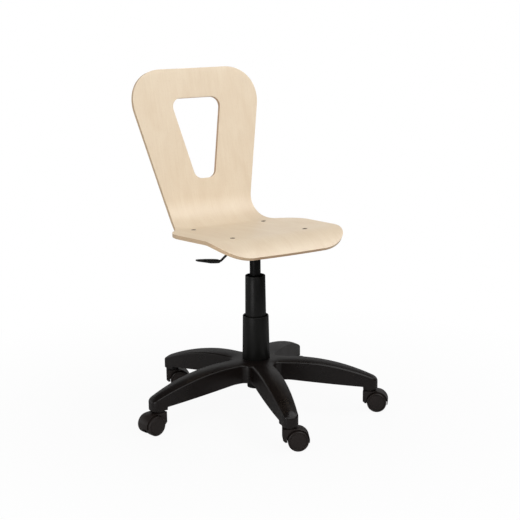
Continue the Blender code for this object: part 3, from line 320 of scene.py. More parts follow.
def caster_hood():
    """The hood's side view over both wheels, with the web between them."""
    meets = math.pi + math.asin((WHEEL_RADIUS - NECK_LOW) / HOOD_INNER)
    neck = [(-NECK_FRONT, HOOD_TOP), (-NECK_FRONT, NECK_LOW + NECK_CHAMFER),
            (NECK_CHAMFER - NECK_FRONT, NECK_LOW)]
    outline = round_axle(HOOD_OUTER, HOOD_TAIL, math.pi / 2.0, 28) + neck
    outline += round_axle(HOOD_INNER, meets, HOOD_TAIL, 44)
    bm = soften(side_slab(outline, HOOD_HALF), HOOD_EDGE, least=35.0)
    middle = (HOOD_INNER + HOOD_OUTER) / 2.0
    web = round_axle(middle, 0.0, math.pi, 40)
    web += round_axle(WEB_FOOT, *WEB_SPAN, 18)
    add_shape(bm, soften(side_slab(web, WEB_HALF), WEB_EDGE, 2, least=35.0))
    return bm


def caster_stem():
    collar_low, collar_top = HOOD_TOP + COLLAR_PLAY, BOSS_LOW - COLLAR_PLAY
    profile = [(0.0, STEM_LOW), (STEM_RADIUS, STEM_LOW), (STEM_RADIUS, collar_low),
               (COLLAR_RADIUS, collar_low), (COLLAR_RADIUS, collar_top), (STEM_RADIUS, collar_top),
               (STEM_RADIUS, STEM_TOP), (0.0, STEM_TOP)]
    return soften(turned(profile, 40), STEM_EDGE, 2)


# Zinc-plated steel: pale grey metal with a slightly patchy sheen.
zinc_steel = new_material("zinc_plated_steel")
zinc_tree = zinc_steel.node_tree
zinc_spot = add(zinc_tree, "TexCoord", {}).outputs["Object"]
zinc_patch = add(zinc_tree, "TexNoise", {"Vector": zinc_spot, "Scale": 1.0 / 0.004, "Detail": 3.0})
zinc_colour = add(zinc_tree, "Mix", {0: zinc_patch.outputs[0], 6: linear("#9a9a9c"), 7: linear("#c9c9c8")},
                  data_type="RGBA")
zinc_gloss = add(zinc_tree, "MapRange", {0: zinc_patch.outputs[0], 1: 0.3, 2: 0.7, 3: 0.28, 4: 0.42})
zinc_shader = add(zinc_tree, "BsdfPrincipled", {"Base Color": zinc_colour.outputs[2], "Metallic": 1.0,
                                                "Roughness": zinc_gloss.outputs[0]})
add(zinc_tree, "OutputMaterial", {0: zinc_shader.outputs[0]})

caster_nylon = moulded_nylon("caster_nylon", "#181311", "#241d1b", rough=0.36, shine=0.26, grain_mm=0.7)
hood, stem, wheel = caster_hood(), caster_stem(), turned(WHEEL_PROFILE, 72)
for number in range(1, 6):
    caster = f"caster_{number}"
    axle_run = joints[caster + "_left_spin"]["axis"]
    trail_turn = math.atan2(-axle_run[0], axle_run[1])
    stem_spot = Vector(joints[caster + "_swivel"]["pos_m"])
    swivel = Matrix.Translation((stem_spot.x, stem_spot.y, 0.0)) @ Matrix.Rotation(trail_turn, 4, "Z")
    axle_spot = swivel @ Matrix.Translation((TRAIL, 0.0, WHEEL_RADIUS))
    left = axle_spot @ Matrix.Rotation(-math.pi / 2.0, 4, "X")
    right = axle_spot @ Matrix.Rotation(math.pi / 2.0, 4, "X")
    for part, shape, place, finish, slot, body, node in (
            ("_hood_moulding", hood, swivel, caster_nylon, "black_nylon", "", "_hood"),
            ("_pin", stem, swivel, zinc_steel, "zinc_steel", "", "_stem"),
            ("_left_moulding", wheel, left, caster_nylon, "black_nylon", "_left", "_wheel_left"),
            ("_right_moulding", wheel, right, caster_nylon, "black_nylon", "_right", "_wheel_right")):
        bm = shape.copy()
        bmesh.ops.transform(bm, matrix=place, verts=bm.verts)
        make_piece(caster + part, bm, finish, caster + body, [caster + node])
for shape in (hood, stem, wheel):
    shape.free()


# Column: a tapered steel tube stands in the hub, a moulded sleeve covers its foot, and a nylon bush
# inside its rim guides the gas spring.
TUBE_PROFILE = [(0.0053, 0.0625), (0.0053, 0.0665), (0.0215, 0.0665), (0.0235, 0.1393), (0.0235, 0.3572),
                (0.0240, 0.3580), (0.0246, 0.3582), (0.0252, 0.3579), (0.0256, 0.3571), (0.0268, 0.2534),
                (0.0268, 0.1393), (0.0237, 0.0625), (0.0053, 0.0625)]
SLEEVE_PROFILE = [(0.0330, 0.1376), (0.0308, 0.2522), (0.0316, 0.2534), (0.0324, 0.2534), (0.0332, 0.2522),
                  (0.0354, 0.1376), (0.0330, 0.1376)]
BUSH_PROFILE = [(0.0143, 0.2702), (0.0143, 0.3502), (0.0232, 0.3502), (0.0232, 0.2702), (0.0143, 0.2702)]
TUBE_EDGE, SLEEVE_EDGE, BUSH_EDGE = 0.0003, 0.0004, 0.0006


def on_column(bm):
    """Sets a shape turned about Z on the column's axis."""
    bmesh.ops.translate(bm, verts=bm.verts, vec=COLUMN)
    return bm


def painted_steel(name, dark, pale, rough, shine, peel_mm):
    """Black enamel baked on steel: smooth and semi-gloss, with a faint orange peel that dulls it where
    it is seen along its surface."""
    material = new_material(name)
    tree = material.node_tree
    spot = add(tree, "TexCoord", {}).outputs["Object"]
    clouds = add(tree, "TexNoise", {"Vector": spot, "Scale": 1.0 / 0.03, "Detail": 2.0})
    peel = add(tree, "TexNoise", {"Vector": spot, "Scale": 1000.0 / peel_mm, "Detail": 1.0})
    colour = add(tree, "Mix", {0: clouds.outputs[0], 6: linear(dark), 7: linear(pale)}, data_type="RGBA")
    bump = add(tree, "Bump", {"Height": peel.outputs[0], "Strength": 0.12, "Distance": 0.0002})
    slant = add(tree, "LayerWeight", {"Blend": 0.5}).outputs["Facing"]
    gloss = add(tree, "MapRange", {0: clouds.outputs[0], 1: 0.3, 2: 0.7, 3: rough - 0.04, 4: rough + 0.05})
    sheen = add(tree, "MapRange", {0: slant, 1: 0.25, 2: 0.75, 3: shine, 4: shine * 0.1})
    shader = add(tree, "BsdfPrincipled", {"Base Color": colour.outputs[2], "Roughness": gloss.outputs[0],
                                          "Specular IOR Level": sheen.outputs[0], "Normal": bump.outputs[0]})
    add(tree, "OutputMaterial", {0: shader.outputs[0]})
    return material


column_enamel = painted_steel("black_enamel_on_steel", "#080807", "#0c0c0a", rough=0.40, shine=0.22,
                              peel_mm=2.5)
# The sleeve is polypropylene out of such a mould, duller than the base's nylon. The bush takes the same look.
sleeve_plastic = moulded_nylon("sleeve_polypropylene", "#080807", "#0d0d0b", rough=0.40, shine=0.20,
                               grain_mm=0.8)
make_piece("column_tube", on_column(soften(turned(TUBE_PROFILE, 96), TUBE_EDGE, 2)), column_enamel, "base",
           ["standing_tube"])
make_piece("column_sleeve", on_column(soften(turned(SLEEVE_PROFILE, 96), SLEEVE_EDGE, 2)), sleeve_plastic,
           "base", ["column_cover"])
make_piece("column_bush", on_column(soften(turned(BUSH_PROFILE, 96), BUSH_EDGE, 2)), sleeve_plastic, "base",
           ["guide_bush"])


# Gas spring: a slim steel cylinder with a conical top that wedges into the seat's socket. Its release
# pin stands out of the top.
CYLINDER_PROFILE = [(0.0, 0.4012), (0.0116, 0.4012), (0.0116, 0.1200), (0.0140, 0.1200), (0.0140, 0.4045),
                    (0.0131, 0.4252), (0.0038, 0.4252), (0.0038, 0.4105), (0.0, 0.4105)]
PIN_PROFILE = [(0.0, 0.4150), (0.0035, 0.4150), (0.0035, 0.4294), (0.0, 0.4294)]
SPRING_EDGE = 0.0005
cylinder_enamel = painted_steel("cylinder_enamel", "#060606", "#090909", rough=0.35, shine=0.12, peel_mm=3.0)
make_piece("gas_spring_cylinder", on_column(soften(turned(CYLINDER_PROFILE, 80), SPRING_EDGE, 2)),
           cylinder_enamel, "lift", ["gas_cylinder"])
make_piece("gas_spring_pin", on_column(soften(turned(PIN_PROFILE, 32), SPRING_EDGE, 2)), zinc_steel,
           "release", ["release_pin"])


# Seat plate: a pan pressed from 2.5 mm steel sheet, its flange curved to the underside of the seat.
# A conical steel socket is set in its floor and takes the top of the gas spring.
SEAT_TILT = math.radians(3.4)
FLANGE_SPOT = Vector((0.0, -0.0010, 0.4610))
FLANGE_HALF, FLANGE_LENGTH_HALF, FLANGE_MIDDLE, FLANGE_CORNER = 0.1138, 0.1070, 0.0297, 0.012
PAN_HALF, PAN_LENGTH_HALF, PAN_DRAFT, PAN_DEPTH, PAN_CORNER = 0.052, 0.062, 0.008, 0.039, 0.018
SHEET, SOCKET_HOLE, PLATE_STRIP = 0.0025, 0.0200, 0.0115
PRESS_RADIUS, SOCKET_EDGE = 0.003, 0.0005
SOCKET_PROFILE = [(0.0143, 0.4080), (0.0134, 0.4255), (0.0195, 0.4255), (0.0195, 0.4192), (0.0245, 0.4192),
                  (0.0245, 0.4157), (0.0195, 0.4157), (0.0195, 0.4080), (0.0143, 0.4080)]
DISH, DISH_HALF = 0.0070, 0.207


def round_corner(bm, corner, radius, steps):
    """Rounds one corner of a flat outline with an arc of that radius."""
    vert = min(bm.verts, key=lambda item: (item.co - Vector(corner)).length)
    ends = [edge.other_vert(vert).co - vert.co for edge in vert.link_edges]
    reach = radius / math.tan(ends[0].angle(ends[1]) / 2.0)
    bmesh.ops.bevel(bm, geom=[vert], offset=reach, offset_type="OFFSET", segments=steps, profile=0.5,
                    affect="VERTICES", clamp_overlap=False, material=-1)


def rounded_box(bm, half_x, half_y, middle_y, height, radius):
    """The edges of a rounded rectangle, level at that height."""
    corners = [(x * half_x, middle_y + y * half_y, height) for x, y in ((1, 1), (-1, 1), (-1, -1), (1, -1))]
    outline = bmesh.new()
    outline.faces.new([outline.verts.new(corner) for corner in corners])
    for corner in corners:
        round_corner(outline, corner, radius, 8)
    before = set(bm.edges)
    add_shape(bm, outline)
    return [edge for edge in bm.edges if edge not in before]


def pressed_plate():
    """Rounded rings bridged from the flange down to the socket's hole, dished, then given a thickness."""
    bm = bmesh.new()
    sizes = [(FLANGE_HALF, FLANGE_LENGTH_HALF, FLANGE_MIDDLE, 0.0, FLANGE_CORNER),
             (PAN_HALF, PAN_LENGTH_HALF, 0.0, 0.0, PAN_CORNER),
             (PAN_HALF - PAN_DRAFT, PAN_LENGTH_HALF - PAN_DRAFT, 0.0, -PAN_DEPTH, PAN_CORNER)]
    rings = [rounded_box(bm, *size) for size in sizes]
    bmesh.ops.delete(bm, geom=bm.faces[:], context="FACES_ONLY")
    ring = bmesh.ops.create_circle(bm, segments=36, radius=SOCKET_HOLE,
                                   matrix=Matrix.Translation((0.0, 0.0, -PAN_DEPTH)))["verts"]
    rings.append(list({edge for vert in ring for edge in vert.link_edges}))
    for outer, inner in zip(rings, rings[1:]):
        bmesh.ops.bridge_loops(bm, edges=outer + inner)
    bmesh.ops.recalc_face_normals(bm, faces=bm.faces)
    for step in range(-9, 10):
        bmesh.ops.bisect_plane(bm, geom=bm.verts[:] + bm.edges[:] + bm.faces[:], dist=1e-7,
                               plane_co=(step * PLATE_STRIP, 0.0, 0.0), plane_no=(1.0, 0.0, 0.0))
    for vert in bm.verts:
        vert.co.z += DISH * (vert.co.x / DISH_HALF) ** 2 * max(0.0, 1.0 + vert.co.z / PAN_DEPTH)
    soften(bm, PRESS_RADIUS, 4, least=40.0)
    if min(bm.faces, key=lambda face: face.calc_center_median().z).normal.z < 0.0:
        bmesh.ops.reverse_faces(bm, faces=bm.faces)
    bmesh.ops.solidify(bm, geom=bm.faces[:], thickness=SHEET)
    bmesh.ops.transform(bm, verts=bm.verts,
                        matrix=Matrix.Translation(COLUMN + FLANGE_SPOT) @ Matrix.Rotation(-SEAT_TILT, 4, "X"))
    return bm


plate_enamel = painted_steel("plate_enamel", "#161615", "#1d1d1c", rough=0.48, shine=0.30, peel_mm=2.0)
make_piece("pressed_plate", pressed_plate(), plate_enamel, "seat", ["seat_plate"])
make_piece("socket_ring", on_column(soften(turned(SOCKET_PROFILE, 64), SOCKET_EDGE, 2)), plate_enamel, "seat",
           ["taper_socket"])


# Release lever: a bent steel rod through a bush in the pan's wall, its inner end over the release pin,
# with a black moulded blade pushed on its outer end.
PIVOT = Vector(joints["lever_pivot"]["pos_m"])
ROD_RADIUS, ROD_OVERHANG = 0.003, 0.008
ELBOW_OUT, KNEE_OUT, KNEE_DROP, ROD_IN_BLADE = 0.0202, 0.0330, 0.0258, 0.021
BEND_RADIUS, BEND_STEPS = 0.010, 10
ROD_EDGE, BLADE_EDGE, BLADE_ROUND, BUSH_RING_EDGE = 0.0006, 0.0005, 0.6, 0.0003
BLADE_RISE, BLADE_LENGTH, BLADE_HALF, BLADE_TALL = math.radians(7.0), 0.0645, 0.0112, 0.0042
BLADE_SECTIONS = [(0.0, 0.50, 0.85, -0.85), (0.03, 0.62, 0.97, -0.97), (0.12, 0.85, 1.0, -1.0),
                  (0.28, 0.96, 1.0, -1.0), (0.44, 1.0, 1.0, -1.0), (0.62, 0.95, 0.95, -0.62),
                  (0.86, 0.80, 0.88, -0.20), (0.97, 0.62, 0.82, -0.08), (1.0, 0.46, 0.74, 0.0)]
BUSH_RING = [(0.00345, -0.004), (0.00345, 0.0044), (0.00865, 0.0044), (0.00865, 0.0029), (0.00645, 0.0029),
             (0.00645, -0.004), (0.00345, -0.004)]
fall = math.atan2(KNEE_DROP, KNEE_OUT)
knee_turn = fall + BLADE_RISE
blade_run = Vector((-math.cos(BLADE_RISE), 0.0, math.sin(BLADE_RISE)))
blade_start = Vector((-ELBOW_OUT - KNEE_OUT, 0.0, -KNEE_DROP))
blade_start += blade_run * BEND_RADIUS * math.tan(knee_turn / 2.0)


def bent_rod():
    """A round bar run out straight, bent down, run on, bent up and run into the blade."""
    bm = bmesh.new()
    bmesh.ops.create_circle(bm, segments=28, radius=ROD_RADIUS, matrix=Matrix.Rotation(math.pi / 2.0, 4, "Y"))
    ring = bm.edges[:]
    spot = Vector((ROD_OVERHANG - PIVOT.x + COLUMN.x, 0.0, 0.0))
    bmesh.ops.translate(bm, verts=bm.verts, vec=spot)
    heading = 0.0
    elbow_trim = BEND_RADIUS * math.tan(fall / 2.0)
    knee_trim = BEND_RADIUS * math.tan(knee_turn / 2.0)
    slope = math.hypot(KNEE_OUT, KNEE_DROP)
    moves = [(spot.x + ELBOW_OUT - elbow_trim, fall), (slope - elbow_trim - knee_trim, -knee_turn),
             (ROD_IN_BLADE, 0.0)]
    for length, bend in moves:
        run = Vector((-math.cos(heading), 0.0, -math.sin(heading)))
        grown = bmesh.ops.extrude_edge_only(bm, edges=ring)
        ring = new_edges(grown)
        bmesh.ops.translate(bm, verts=new_verts(grown), vec=run * length)
        spot = spot + run * length
        if bend:
            side = 1.0 if bend > 0.0 else -1.0
            hub = spot + Vector((math.sin(heading), 0.0, -math.cos(heading))) * BEND_RADIUS * side
            part_turn = Matrix.Rotation(-bend / BEND_STEPS, 3, "Y")
            for step in range(BEND_STEPS):
                grown = bmesh.ops.extrude_edge_only(bm, edges=ring)
                ring = new_edges(grown)
                bmesh.ops.rotate(bm, verts=new_verts(grown), cent=hub, matrix=part_turn)
            turn = Matrix.Rotation(-bend, 3, "Y")
            spot = hub + turn @ (spot - hub)
            heading += bend
    bmesh.ops.holes_fill(bm, edges=[edge for edge in bm.edges if edge.is_boundary])
    bmesh.ops.recalc_face_normals(bm, faces=bm.faces)
    soften(bm, ROD_EDGE, 2, least=60.0)
    bmesh.ops.translate(bm, verts=bm.verts, vec=PIVOT)
    return bm


def blade():
    """Rounded sections set along the blade and bridged, then capped."""
    bm = bmesh.new()
    rings = []
    for along, wide, top, low in BLADE_SECTIONS:
        tall = BLADE_TALL * (top - low) / 2.0
        middle = BLADE_TALL * (top + low) / 2.0
        height, corner = -BLADE_LENGTH * along, tall * BLADE_ROUND
        rings.append(rounded_box(bm, BLADE_HALF * wide, tall, middle, height, corner))
    bmesh.ops.delete(bm, geom=bm.faces[:], context="FACES_ONLY")
    for first, second in zip(rings, rings[1:]):
        bmesh.ops.bridge_loops(bm, edges=first + second)
    bmesh.ops.holes_fill(bm, edges=[edge for edge in bm.edges if edge.is_boundary])
    bmesh.ops.recalc_face_normals(bm, faces=bm.faces)
    soften(bm, BLADE_EDGE, 2, least=50.0)
    lay = Matrix(((0.0, 0.0, 1.0), (1.0, 0.0, 0.0), (0.0, 1.0, 0.0))).to_4x4()
    bmesh.ops.transform(bm, verts=bm.verts, matrix=Matrix.Translation(PIVOT + blade_start)
                        @ Matrix.Rotation(BLADE_RISE, 4, "Y") @ lay)
    return bm


lever_enamel = painted_steel("lever_enamel", "#121212", "#181818", rough=0.32, shine=0.30, peel_mm=2.5)
lever_nylon = moulded_nylon("lever_nylon", "#161616", "#1d1d1d", rough=0.40, shine=0.26, grain_mm=0.7)
bush_ring = soften(turned(BUSH_RING, 40), BUSH_RING_EDGE, 2)
bmesh.ops.transform(bush_ring, verts=bush_ring.verts,
                    matrix=Matrix.Translation(PIVOT) @ Matrix.Rotation(math.pi / 2.0, 4, "Y"))
make_piece("lever_bar", bent_rod(), lever_enamel, "lever", ["lever_rod"])
make_piece("lever_blade", blade(), lever_nylon, "lever", ["lever_paddle"])
make_piece("lever_collar", bush_ring, lever_nylon, "seat", ["lever_bush"])


# Shell: seven rotary-cut birch veneers glued over a mould, so seat and back are one sheet. It is cut
# to its outline, its edge rounded over, and lacquered clear. Four screws hold it to the plate.
PLY, VENEERS = 0.0102, 7
SEAT_TOP, SEAT_REAR, SEAT_FLAT = 0.4785, 0.1456, 0.2245
BACK_LEAN, BACK_FLAT, HEEL_RADIUS = math.radians(13.1), 0.3414, 0.0815
NOSE_RADIUS, NOSE_TURN = 0.1254, math.radians(46.3)
HEEL_TURN = math.pi / 2.0 - BACK_LEAN + SEAT_TILT
HEEL_END = BACK_FLAT + HEEL_RADIUS * HEEL_TURN
NOSE_START = HEEL_END + SEAT_FLAT
SHEET_END = NOSE_START + NOSE_RADIUS * NOSE_TURN
TOP_HALF, BACK_TAPER, WAIST_DOWN = 0.2094, math.radians(12.85), 0.413
WAIST_HALF = TOP_HALF - math.tan(BACK_TAPER) * WAIST_DOWN
OUTLINE = [(TOP_HALF, 0.0, 0.0900), (WAIST_HALF, WAIST_DOWN, 0.130), (0.1955, 0.5125, 0.110),
           (0.1852, SHEET_END, 0.0859)]
CUTOUT = [(0.0771, 0.0785, 0.0255), (0.0290, 0.2948, 0.0230)]
SCREW_HALF, SCREW_REAR, SCREW_FRONT, SCREW_HOLE = 0.1058, HEEL_END + 0.0173, NOSE_START - 0.0092, 0.0065
ROUND_OVER, SHELL_STRIP = 0.0010, 0.0174
FACE_DEPTH, SIDE_START, SIDE_FULL = 0.0004, 0.085, 0.12


def pressed(across, down, depth):
    """Where a point of the flat sheet lies once the sheet is pressed: back, heel, seat, then nose."""
    forward = Vector((0.0, -math.cos(SEAT_TILT), math.sin(SEAT_TILT)))
    under = Vector((0.0, -math.sin(SEAT_TILT), -math.cos(SEAT_TILT)))
    upward = Vector((0.0, math.sin(BACK_LEAN), math.cos(BACK_LEAN)))
    behind = Vector((0.0, math.cos(BACK_LEAN), -math.sin(BACK_LEAN)))
    heel = Vector((0.0, SEAT_REAR, SEAT_TOP - SEAT_REAR * math.tan(SEAT_TILT)))
    heel_hub = heel - under * HEEL_RADIUS
    if down <= BACK_FLAT:
        face, normal = heel_hub + behind * HEEL_RADIUS + upward * (BACK_FLAT - down), behind
    elif down <= HEEL_END:
        turn = (down - BACK_FLAT) / HEEL_RADIUS
        normal = behind * math.cos(turn) - upward * math.sin(turn)
        face = heel_hub + normal * HEEL_RADIUS
    elif down <= NOSE_START:
        face, normal = heel + forward * (down - HEEL_END), under
    else:
        turn = (down - NOSE_START) / NOSE_RADIUS
        normal = under * math.cos(turn) - forward * math.sin(turn)
        face = heel + forward * SEAT_FLAT + (under - normal) * NOSE_RADIUS
    dished = depth + DISH - DISH * (across / DISH_HALF) ** 2
    return COLUMN + Vector((across, 0.0, 0.0)) + face + normal * dished


def flat_outline(bm, half):
    """A symmetrical outline on the flat sheet from (half width, down, corner radius) on one side."""
    corners = half + [(-across, down, radius) for across, down, radius in reversed(half)]
    outline = bmesh.new()
    outline.faces.new([outline.verts.new((across, down, 0.0)) for across, down, radius in corners])
    for across, down, radius in corners:
        round_corner(outline, (across, down, 0.0), radius, 28)
    add_shape(bm, outline)


def plywood_sheet():
    """The flat sheet is cut out, cut into strips that can bend, thickened, rounded over and pressed."""
    bm = bmesh.new()
    flat_outline(bm, OUTLINE)
    flat_outline(bm, CUTOUT)
    bmesh.ops.delete(bm, geom=bm.faces[:], context="FACES_ONLY")
    for across in (-SCREW_HALF, SCREW_HALF):
        for down in (SCREW_REAR, SCREW_FRONT):
            bmesh.ops.create_circle(bm, segments=32, radius=SCREW_HOLE,
                                    matrix=Matrix.Translation((across, down, 0.0)))
    bmesh.ops.triangle_fill(bm, edges=bm.edges[:], use_beauty=True)
    bmesh.ops.dissolve_limit(bm, angle_limit=math.radians(0.5), verts=bm.verts, edges=bm.edges)
    cuts = [((step * SHELL_STRIP, 0.0, 0.0), (1.0, 0.0, 0.0)) for step in range(-11, 12)]
    for start, end, count in ((0.0, BACK_FLAT, 16), (BACK_FLAT, HEEL_END, 28), (HEEL_END, NOSE_START, 12),
                              (NOSE_START, SHEET_END, 20)):
        downs = [start + (end - start) * step / count for step in range(1, count + 1)]
        cuts += [((0.0, down, 0.0), (0.0, 1.0, 0.0)) for down in downs]
    for place, normal in cuts[:-1]:
        bmesh.ops.bisect_plane(bm, geom=bm.verts[:] + bm.edges[:] + bm.faces[:], dist=1e-7, plane_co=place,
                               plane_no=normal)
    grown = bmesh.ops.extrude_face_region(bm, geom=bm.faces[:])
    bmesh.ops.translate(bm, verts=new_verts(grown), vec=(0.0, 0.0, PLY))
    bmesh.ops.recalc_face_normals(bm, faces=bm.faces)
    soften(bm, ROUND_OVER, 4, least=60.0)
    sheet = bm.verts.layers.float_vector.new("sheet")
    for vert in bm.verts:
        vert[sheet] = vert.co
        vert.co = pressed(*vert.co)
    return bm


# Birch plywood: creamy rotary-cut veneer with faint long streaks and slow clouds under satin lacquer.
# The cut edge soaks up more lacquer, so it is darker: tan veneers along it, brown ones across, and the
# glue lines between them. The two long sides are cut along the grain and show paler than the ends.
# The pores are drawn coarser than they are, because real ones are too fine to show.
birch_ply = new_material("lacquered_birch_plywood")
tree = birch_ply.node_tree
sheet_spot = add(tree, "Attribute", {}, attribute_name="sheet").outputs["Vector"]
split = add(tree, "SeparateXYZ", {0: sheet_spot})
streak_spot = add(tree, "Mapping", {"Vector": sheet_spot, "Scale": (1.0 / 0.004, 1.0 / 0.16, 1.0 / 0.004)})
streaks = add(tree, "TexNoise", {"Vector": streak_spot.outputs[0], "Scale": 1.0, "Detail": 4.0,
                                 "Roughness": 0.6})
cloud_spot = add(tree, "Mapping", {"Vector": sheet_spot, "Scale": (1.0 / 0.05, 1.0 / 0.11, 1.0)})
clouds = add(tree, "TexNoise", {"Vector": cloud_spot.outputs[0], "Scale": 1.0, "Detail": 3.0,
                                "Distortion": 0.8})
figure_spot = add(tree, "Mapping", {"Vector": sheet_spot, "Scale": (1.0 / 0.014, 1.0 / 0.09, 1.0)})
figure = add(tree, "TexNoise", {"Vector": figure_spot.outputs[0], "Scale": 1.0, "Detail": 2.0,
                                "Distortion": 1.5})
pore_spot = add(tree, "Mapping", {"Vector": sheet_spot, "Scale": (1.0 / 0.0009, 1.0 / 0.009, 1.0 / 0.0009)})
pores = add(tree, "TexNoise", {"Vector": pore_spot.outputs[0], "Scale": 1.0, "Detail": 1.0})
tone = add(tree, "MapRange", {0: clouds.outputs[0], 1: 0.30, 2: 0.70, 3: 0.0, 4: 1.0})
veneer = add(tree, "Mix", {0: tone.outputs[0], 6: linear("#e1ceb4"), 7: linear("#e6d5bc")}, data_type="RGBA")
streak_share = add(tree, "MapRange", {0: streaks.outputs[0], 1: 0.45, 2: 0.75, 3: 0.0, 4: 0.18})
veneer = add(tree, "Mix", {0: streak_share.outputs[0], 6: veneer.outputs[2], 7: linear("#cfb594")},
             data_type="RGBA")
figure_share = add(tree, "MapRange", {0: figure.outputs[0], 1: 0.5, 2: 0.75, 3: 0.0, 4: 0.10})
veneer = add(tree, "Mix", {0: figure_share.outputs[0], 6: veneer.outputs[2], 7: linear("#d2b794")},
             data_type="RGBA")
pore_share = add(tree, "MapRange", {0: pores.outputs[0], 1: 0.62, 2: 0.74, 3: 0.0, 4: 0.22})
veneer = add(tree, "Mix", {0: pore_share.outputs[0], 6: veneer.outputs[2], 7: linear("#b8966c")},
             data_type="RGBA")
layer = add(tree, "Math", {0: split.outputs["Z"], 1: VENEERS / PLY}, operation="MULTIPLY")
parity = add(tree, "Math", {0: layer.outputs[0], 1: 2.0}, operation="MODULO")
crossed = add(tree, "Math", {0: parity.outputs[0], 1: 1.0}, operation="GREATER_THAN")
long_edge = add(tree, "Mix", {0: streaks.outputs[0], 6: linear("#d0ab86"), 7: linear("#dfc19f")},
                data_type="RGBA")
cross_edge = add(tree, "Mix", {0: streaks.outputs[0], 6: linear("#a67f5e"), 7: linear("#bf9975")},
                 data_type="RGBA")
cut_edge = add(tree, "Mix", {0: crossed.outputs[0], 6: long_edge.outputs[2], 7: cross_edge.outputs[2]},
               data_type="RGBA")
within = add(tree, "Math", {0: layer.outputs[0]}, operation="FRACT")
glue = add(tree, "Math", {0: within.outputs[0], 1: 0.0, 2: 0.10}, operation="COMPARE")
glue_share = add(tree, "Math", {0: glue.outputs[0], 1: 0.42}, operation="MULTIPLY")
cut_edge = add(tree, "Mix", {0: glue_share.outputs[0], 6: cut_edge.outputs[2], 7: linear("#5b402b")},
               data_type="RGBA")
aside = add(tree, "Math", {0: split.outputs["X"]}, operation="ABSOLUTE")
side_share = add(tree, "MapRange", {0: aside.outputs[0], 1: SIDE_START, 2: SIDE_FULL, 3: 0.0, 4: 0.42})
cut_edge = add(tree, "Mix", {0: side_share.outputs[0], 6: cut_edge.outputs[2], 7: linear("#e8d2b0")},
               data_type="RGBA")
inside = add(tree, "Math", {0: split.outputs["Z"], 1: PLY / 2.0, 2: PLY / 2.0 - FACE_DEPTH},
             operation="COMPARE")
wood = add(tree, "Mix", {0: inside.outputs[0], 6: veneer.outputs[2], 7: cut_edge.outputs[2]},
           data_type="RGBA")
satin = add(tree, "MapRange", {0: streaks.outputs[0], 1: 0.3, 2: 0.7, 3: 0.34, 4: 0.42})
slant = add(tree, "LayerWeight", {"Blend": 0.5}).outputs["Facing"]
shine = add(tree, "MapRange", {0: slant, 1: 0.45, 2: 0.8, 3: 0.5, 4: 0.08})
relief = add(tree, "Bump", {"Height": streaks.outputs[0], "Strength": 0.05, "Distance": 0.0003})
shader = add(tree, "BsdfPrincipled", {"Base Color": wood.outputs[2], "Roughness": satin.outputs[0],
                                      "Specular IOR Level": shine.outputs[0], "Normal": relief.outputs[0]})
add(tree, "OutputMaterial", {0: shader.outputs[0]})
make_piece("plywood_shell", plywood_sheet(), birch_ply, "seat", ["seat_shell"], sharp=50.0)


# Seat screws: countersunk steel screws with a hexagon socket, bronzed brown, drawn tight by hexagon
# nuts under the plate.
HEAD_RADIUS, SHANK_RADIUS, HEAD_TALL, SCREW_LENGTH = 0.0063, 0.003, 0.003, 0.0203
HEAD_DOME, HEAD_PROUD, SOCKET_RADIUS, SOCKET_DEPTH = 0.0006, 0.0005, 0.0026, 0.0022
HEAD_EDGE, NUT_RADIUS, NUT_TALL, NUT_PLAY, NUT_EDGE = 0.0003, 0.0058, 0.005, 0.0003, 0.0005


def socket_screw():
    """A head drawn out from its rim to the shank, with a hexagon socket let into its top."""
    bm = bmesh.new()
    rim = bmesh.ops.create_circle(bm, segments=36, radius=HEAD_RADIUS - HEAD_EDGE)["verts"]
    hexagon = bmesh.ops.create_circle(bm, segments=6, radius=SOCKET_RADIUS,
                                      matrix=Matrix.Translation((0.0, 0.0, HEAD_DOME)))["verts"]
    rim_edges = list({edge for vert in rim for edge in vert.link_edges})
    hexagon_edges = list({edge for vert in hexagon for edge in vert.link_edges})
    bmesh.ops.bridge_loops(bm, edges=rim_edges + hexagon_edges)
    for edges, steps in ((hexagon_edges, [(1.0, -SOCKET_DEPTH)]),
                         (rim_edges, [(HEAD_RADIUS / (HEAD_RADIUS - HEAD_EDGE), -HEAD_EDGE),
                                      (SHANK_RADIUS / HEAD_RADIUS, -HEAD_TALL), (1.0, -SCREW_LENGTH)])):
        for scale, height in steps:
            grown = bmesh.ops.extrude_edge_only(bm, edges=edges)
            edges, verts = new_edges(grown), new_verts(grown)
            bmesh.ops.scale(bm, verts=verts, vec=(scale, scale, 1.0))
            for vert in verts:
                vert.co.z = height
    bmesh.ops.holes_fill(bm, edges=[edge for edge in bm.edges if edge.is_boundary])
    bmesh.ops.recalc_face_normals(bm, faces=bm.faces)
    return bm


def hexagon_nut():
    """A hexagon round the shank's hole, drawn down to the nut's height."""
    bm = bmesh.new()
    outer = bmesh.ops.create_circle(bm, segments=6, radius=NUT_RADIUS)["verts"]
    inner = bmesh.ops.create_circle(bm, segments=24, radius=SHANK_RADIUS + NUT_PLAY)["verts"]
    bmesh.ops.bridge_loops(bm, edges=list({edge for vert in outer + inner for edge in vert.link_edges}))
    grown = bmesh.ops.extrude_face_region(bm, geom=bm.faces[:])
    bmesh.ops.translate(bm, verts=new_verts(grown), vec=(0.0, 0.0, -NUT_TALL))
    bmesh.ops.recalc_face_normals(bm, faces=bm.faces)
    return soften(bm, NUT_EDGE, 2, least=50.0)


